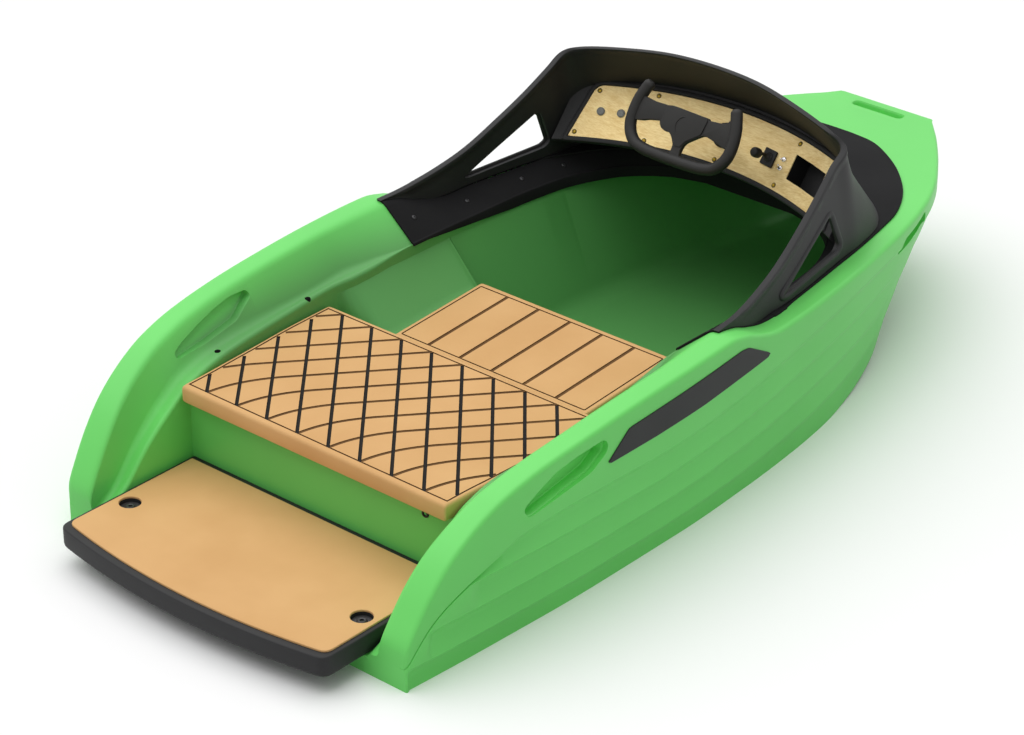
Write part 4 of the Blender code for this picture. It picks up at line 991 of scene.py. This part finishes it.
def on_dash(x, rise, out=0.0):
    spot = Vector((x, DASH_FOOT_Y - DASH_RADIUS + sqrt(DASH_RADIUS ** 2 - x * x) + rise * sin(DASH_LEAN),
                   DASH_FOOT_Z - DASH_END_DROP * x * x + rise * cos(DASH_LEAN)))
    return spot + dash_frame_at(x)[2] * out


def dash_bar(xs, ring):
    """Bar along the dash; the ring is (rise, out) points."""
    return loft([[on_dash(x, rise, out) for rise, out in ring] for x in xs])


def dash_block(xs, rises, outs):
    return dash_bar(xs, [(rises[0], outs[0]), (rises[1], outs[0]), (rises[1], outs[1]), (rises[0], outs[1])])


def column_profile(outline, x):
    """Lowest and highest value of a closed outline at x."""
    crossings = []
    for a, b in zip(outline, outline[1:] + outline[:1]):
        if (a[0] - x) * (b[0] - x) <= 0 and abs(a[0] - b[0]) > 1e-9:
            crossings.append(a[1] + (b[1] - a[1]) * (x - a[0]) / (b[0] - a[0]))
    return min(crossings), max(crossings)


outline = round_outline([(-0.388, -0.01, 0.004), (0.388, -0.01, 0.004), (0.373, 0.131, 0.02),
                         (-0.373, 0.131, 0.02)], 0.02, 8)
rings = []
for x in np.linspace(-0.3872, 0.3872, 120):
    low, high = column_profile(outline, x)
    ring = [(low, 0.0004), (high, 0.0004), (high, 0.0022), (high - 0.0008, 0.003)]
    ring += [(low + 0.0008, 0.003), (low, 0.0022)]
    rings.append([on_dash(x, rise, out) for rise, out in ring])
plate = mesh_object("brass_plate", loft(rings), "brass_sheet")
pocket_xs = (POCKET[0], 0.2735, POCKET[1])
pocket_tool = dash_block(pocket_xs, POCKET[2:], (0.02, -POCKET_DEPTH))
yoke_out = Vector((0, -cos(YOKE_TILT), sin(YOKE_TILT)))
yoke_up = Vector((0, sin(YOKE_TILT), cos(YOKE_TILT)))
column_spot = on_dash(0.0, 0.064, 0.004)
column_tool = rod(0.017, -0.08, 0.06, column_spot, yoke_out, 28)
carve(plate, [pocket_tool, column_tool], smooth=30.0)
settle(plate, "brass_sheet", "dash_plate")

dash = mesh_object("dash_panel", dash_bar(np.linspace(-0.4225, 0.4225, 60), DASH_RING), "black_moulding")
case_xs = (POCKET[0] - 0.004, 0.2735, POCKET[1] + 0.004)
carve(dash, [dash_block(case_xs, (POCKET[2] - 0.004, POCKET[3] + 0.004), (-0.01, -0.059))], "UNION")
carve(dash, [loft(beyond_cowl), pocket_tool, column_tool], smooth=30.0)
settle(dash, "black_moulding", "dash_frame")

# Raised edge round the brass plate
outline = round_outline([(-0.3942, -0.0145, 0.006), (0.3942, -0.0145, 0.006), (0.3782, 0.1372, 0.024),
                         (-0.3782, 0.1372, 0.024)], 0.02, 8)
dense = []
for a, b in zip(outline, outline[1:] + outline[:1]):
    steps = max(1, int(hypot(b[0] - a[0], b[1] - a[1]) / 0.02))
    dense += [(a[0] + (b[0] - a[0]) * s / steps, a[1] + (b[1] - a[1]) * s / steps) for s in range(steps)]
lines = [[on_dash(a, b, level) for a, b in inset(dense, -margin)] for margin, level in DASH_EDGE]
rings = [list(ring) for ring in zip(*lines)]
piece("dash_edge", loft(rings + rings[:1], caps=False), "black_moulding")

# Screws in the plate, then two round buttons with knurled faces
screws, washers = [], []
for x, rise in SCREWS:
    out = dash_frame_at(x)[2]
    spot = on_dash(x, rise, PLATE_OUT)
    screws.append(lathe(SCREW, spot, out, 18))
    washers.append(rod(0.0062, -0.0008, 0.0004, spot, out, 18))
piece("dash_screws", join(*screws), "screw_gold", slot="brass_sheet")
piece("dash_washers", join(*washers), "black_moulding")
for name, x in (("port", -0.337), ("starboard", -0.287)):
    spot = on_dash(x, 0.061, PLATE_OUT + 0.0005)
    turn = dash_frame_at(x)[2].to_track_quat("Z", "Y").to_matrix()
    rings = []
    for radius, level, wave in BUTTON:
        rings.append([spot + turn @ Vector((a, b, level + wave * (1 if s % 4 < 2 else -1)))
                      for s, (a, b) in enumerate(circle(radius, BUTTON_STEPS))])
    piece("dash_button_" + name, loft(rings), "grey_button", "gauge_" + name)

# Throttle: base plate, stem, knob and boot
THROTTLE_X, THROTTLE_RISE = 0.147, 0.055
KNOB = mm(
    (0, 0), (6, 0), (9.8, 1.2), (11.8, 4), (12.5, 9), (12.5, 16), (11.8, 21), (9.8, 24), (6, 25.2), (0, 25.3),
)
BOOT = mm((12.5, 0), (11.8, 2), (8.8, 3.5), (8.6, 6), (6.6, 7.5), (6.2, 10), (4.5, 11.5), (4, 2))


def on_throttle(a, b, level):
    return on_dash(THROTTLE_X + a, THROTTLE_RISE + b, level)


corners = [(-0.0188, -0.0208), (0.0188, -0.0208), (0.0188, 0.0208), (-0.0188, 0.0208)]
outline = round_outline(corners, 0.003, 4)
base = slab(outline, PLATE_OUT + 0.0009, PLATE_OUT + 0.0058, 0.0012, 0.0, on_throttle)
piece("throttle_plate", base, "black_moulding", "throttle_base")
side_way, up, out = dash_frame_at(THROTTLE_X)
spot = on_throttle(0.0, 0.0, PLATE_OUT + 0.0009)
knob_low = spot + out * 0.04 - up * 0.006
knob_high = spot + out * 0.064 - up * 0.01
rows = [spot + out * 0.006, spot + out * 0.022, (knob_low + knob_high) / 2]
path = curve_through([tuple(row) for row in rows], 8)
stem = sweep(path, circle(0.004, 14), up=tuple(side_way))
knob = lathe(KNOB, knob_low, knob_high - knob_low, 28)
boot = lathe(BOOT, spot + out * 0.0052, out, 24)
piece("throttle_grip", join(stem, knob, boot), "black_grip", "throttle_lever", slot="black_moulding")

# Two toggle switches, one up and one down
SWITCH_X, SWITCH_LEAN = 0.19, 0.35
SWITCH_NUT = mm((0, 0), (6.4, 0), (6.4, 1.2), (5.4, 1.8), (5.4, 3.8), (3.4, 4.4), (2.8, 4.4), (0, 4))
SWITCH_BAT = mm((0, 2), (1.4, 2), (1.7, 6), (2.4, 10.5), (2.2, 12.2), (1.2, 13), (0, 13.1))
for number, rise, lean in ((1, 0.068, -SWITCH_LEAN), (2, 0.045, SWITCH_LEAN)):
    side_way, up, out = dash_frame_at(SWITCH_X)
    spot = on_dash(SWITCH_X, rise, PLATE_OUT + 0.0009)
    nut = lathe(SWITCH_NUT, spot, out, 6)
    bat = lathe(SWITCH_BAT, spot, (out + up * lean).normalized(), 20)
    piece("switch_%d" % number, join(nut, bat), "chrome_trim", "toggle_%d" % number)

# Steering yoke: half of its rim's path, then the outlines of its arms and of the cover on them
YOKE_PATH = mm(
    (128, 67), (136, 46), (145, 20), (149, -11), (147, -42), (137, -64), (118, -82), (90, -90), (45, -93),
    (0, -93.5),
)
YOKE_ARMS = mm(
    (-139, -32.5), (-112, -26.8), (-100.8, -21.7), (-65.6, -14.5, 3), (-64, -21, 5), (-57.4, -29.2, 7),
    (-39.9, -35.2, 6), (-29, -33.4, 6), (-16.9, -42.3, 12), (-8.3, -59, 20), (-9, -74, 10), (-15, -88, 4),
    (22, -88, 4), (16.6, -75.1, 10), (16.5, -64, 20), (21.8, -47.6, 12), (41.8, -32.3, 10), (67.2, -14.1, 12),
    (100, -21, 12), (126.9, -28.2), (139, -30), (139, 48), (124.5, 40, 10), (117.3, 26.5, 8), (66, 22.2, 3),
    (63.2, 26.2, 3), (-40.1, 29.2, 4), (-56, 26.2, 3), (-98.6, 25.2, 6), (-139, 30),
)
YOKE_COVER = mm(
    (-56.5, 26.2, 3), (-40.1, 28.8, 4), (63, 25.8, 3), (65.5, 20), (60, -16, 6), (40, -31, 8), (21.8, -44, 8),
    (15, -60), (-6, -60), (-16.9, -42.3, 8), (-29, -33, 5), (-39.9, -35, 6), (-57.4, -29, 7), (-60, -13.2, 3),
)
YOKE_END_SCALES = (0.62, 0.8, 0.93, 0.98)
HUB = mm((0, -12.8), (24, -12.8), (25, -10), (25, 7), (0, 7))
SHAFT = mm((11, -40), (18, -30), (20, -10), (0, -10))
COLUMN_BOSS = mm((0, 0), (32, 0), (32, 3), (30.5, 5), (27.5, 13), (26, 15.5), (23, 16), (0, 16))


def on_yoke(u, v, out=0.0):
    return YOKE_CENTRE + Vector((u, 0, 0)) + yoke_up * v + yoke_out * out


path = curve_through([(-u, v) for u, v in YOKE_PATH] + list(reversed(YOKE_PATH[:-1])), 8)
scales = list(YOKE_END_SCALES) + [1.0] * (len(path) - 8) + list(reversed(YOKE_END_SCALES))
rim = sweep([on_yoke(u, v) for u, v in path], circle(0.0145, 24), up=tuple(yoke_out), scale=scales)
arms = slab(round_outline(YOKE_ARMS, 0.008, 5), -0.007, 0.006, 0.0015, 0.0015, on_yoke, 3)
cover = slab(round_outline(YOKE_COVER, 0.006, 5), 0.004, 0.0086, 0.001, 0.0, on_yoke, 3)
turns = np.linspace(1.75, 3.95, 22)
path = [on_yoke(0.0085 + 0.0255 * cos(t), 0.0255 * sin(t) - 0.012, 0.0086) for t in turns]
crescent = sweep(path, circle(0.0015, 8), up=tuple(yoke_out), scale=[0.2, 0.7] + [1.0] * 18 + [0.7, 0.2])
hub = lathe(HUB, YOKE_CENTRE, yoke_out, 48)
column_end = -(YOKE_CENTRE - column_spot).length - 0.02
shaft = lathe([(0, column_end), (0.011, column_end)] + SHAFT, YOKE_CENTRE, yoke_out, 28)
yoke = join(rim, arms, cover, crescent, hub, shaft)
piece("yoke_wheel", yoke, "black_grip", "steering_yoke", body="yoke")
boss = lathe(COLUMN_BOSS, column_spot, dash_frame_at(0.0)[2], 40)
bearing = mesh_object("column_boss", boss, "black_moulding")
carve(bearing, [rod(0.0116, -0.08, 0.06, column_spot, yoke_out, 28)])
settle(bearing, "black_moulding", "column_bearing")

# Insert panels on the sides, bare: out of the skin, and in from the outline's edge
PANEL_LEVELS = mm((-1, 0), (2, 0), (3, 1.2))
outline = round_outline(SIDE_PANEL, 0.007, 5)
ends = min(y for y, z in outline) + 0.0004, max(y for y, z in outline) - 0.0004
for name, side in SIDES:
    rings = []
    for y in np.linspace(*ends, 80):
        low, high = column_profile(outline, y)
        skin = along(SHEER_HALF_BREADTH, y)
        upper = [(side * (skin + out), y, high - edge) for out, edge in PANEL_LEVELS]
        lower = [(side * (skin + out), y, low + edge) for out, edge in PANEL_LEVELS]
        rings.append(lower[:1] + upper + lower[:0:-1])
    piece("side_insert_" + name, loft(rings), "black_moulding", "side_panel_" + name)

# Drain plug
DRAIN_PLUG = mm((0, 0.4), (10, 0.4), (9.8, 3), (8.5, 4.8), (5.5, 5), (4.8, 1), (0, 1))
plug = lathe(DRAIN_PLUG, (0.309, 0.016, 0.122), (0, -1, 0), 24)
piece("drain_screw", plug, "black_moulding", "drain_plug", slot="steel")

# Floor, light and camera
SKY_LOW, SKY_HIGH = 0.3, 0.66
SUN_LEVEL, SUN_FROM, SUN_ANGLE = 0.52, (-0.3, -0.06, 1.0), radians(80.0)
FLOOR_SEEN, FLOOR_BOUNCE, FLOOR_HALF_SIZE = 1.0, 0.66, 30.0
CAMERA_SPOT, CAMERA_AZIMUTH, CAMERA_ELEVATION = (4.30535, -5.14779, 3.75068), radians(41.111), radians(28.44)
FOCAL_PIXELS, PHOTO_WIDTH, SENSOR_WIDTH = 3244.17, 1024.0, 36.0
WHITE = (1, 1, 1, 1)


def seen_rays(tree):
    """One for rays from the camera and for mirror-like and clear ones, else zero."""
    path = node(tree, "LightPath", {})
    either = {0: path["Is Glossy Ray"], 1: path["Is Transmission Ray"]}
    shiny = node(tree, "Math", either, operation="MAXIMUM")[0]
    return node(tree, "Math", {0: path["Is Camera Ray"], 1: shiny}, operation="MAXIMUM")[0]


world = bpy.data.worlds.new("studio")
bpy.context.scene.world = world
world.use_nodes = True
tree = world.node_tree
tree.nodes.clear()
height = node(tree, "SeparateXYZ", {0: node(tree, "TexCoord", {})["Generated"]})["Z"]
dim = node(tree, "Background", {"Color": WHITE, "Strength": spread(tree, height, SKY_LOW, SKY_HIGH)})[0]
bright = node(tree, "Background", {"Color": WHITE, "Strength": 1.0})[0]
mixed = node(tree, "MixShader", {"Fac": seen_rays(tree), 1: dim, 2: bright})[0]
node(tree, "OutputWorld", {"Surface": mixed})

tree, shader = material("floor_paint")
seen = spread(tree, seen_rays(tree), FLOOR_BOUNCE, FLOOR_SEEN)
put(tree, shader, {"Base Color": seen, "Roughness": 0.9, "Specular IOR Level": 0.0})
floor_mesh = bpy.data.meshes.new("floor")
corners = [(FLOOR_HALF_SIZE * a, FLOOR_HALF_SIZE * b, 0) for a, b in ((-1, -1), (1, -1), (1, 1), (-1, 1))]
floor_mesh.from_pydata(corners, [], [(0, 1, 2, 3)])
floor_mesh.materials.append(PAINTS["floor_paint"])
floor = bpy.data.objects.new("floor", floor_mesh)
bpy.context.scene.collection.objects.link(floor)

sun_data = bpy.data.lights.new("overhead", "SUN")
sun_data.energy = SUN_LEVEL * pi
sun_data.angle = SUN_ANGLE
sun = bpy.data.objects.new("overhead", sun_data)
sun.rotation_euler = Vector(SUN_FROM).to_track_quat("Z", "Y").to_euler()
bpy.context.scene.collection.objects.link(sun)

ahead = Vector((-sin(CAMERA_AZIMUTH) * cos(CAMERA_ELEVATION),
                cos(CAMERA_AZIMUTH) * cos(CAMERA_ELEVATION), -sin(CAMERA_ELEVATION)))
camera_data = bpy.data.cameras.new("camera")
camera_data.sensor_width = SENSOR_WIDTH
camera_data.lens = FOCAL_PIXELS / PHOTO_WIDTH * SENSOR_WIDTH
camera = bpy.data.objects.new("camera", camera_data)
camera.location = CAMERA_SPOT
camera.rotation_mode = "QUATERNION"
camera.rotation_quaternion = ahead.to_track_quat("-Z", "Y")
bpy.context.scene.collection.objects.link(camera)
bpy.context.scene.camera = camera
bpy.context.scene.view_settings.view_transform = "Standard"
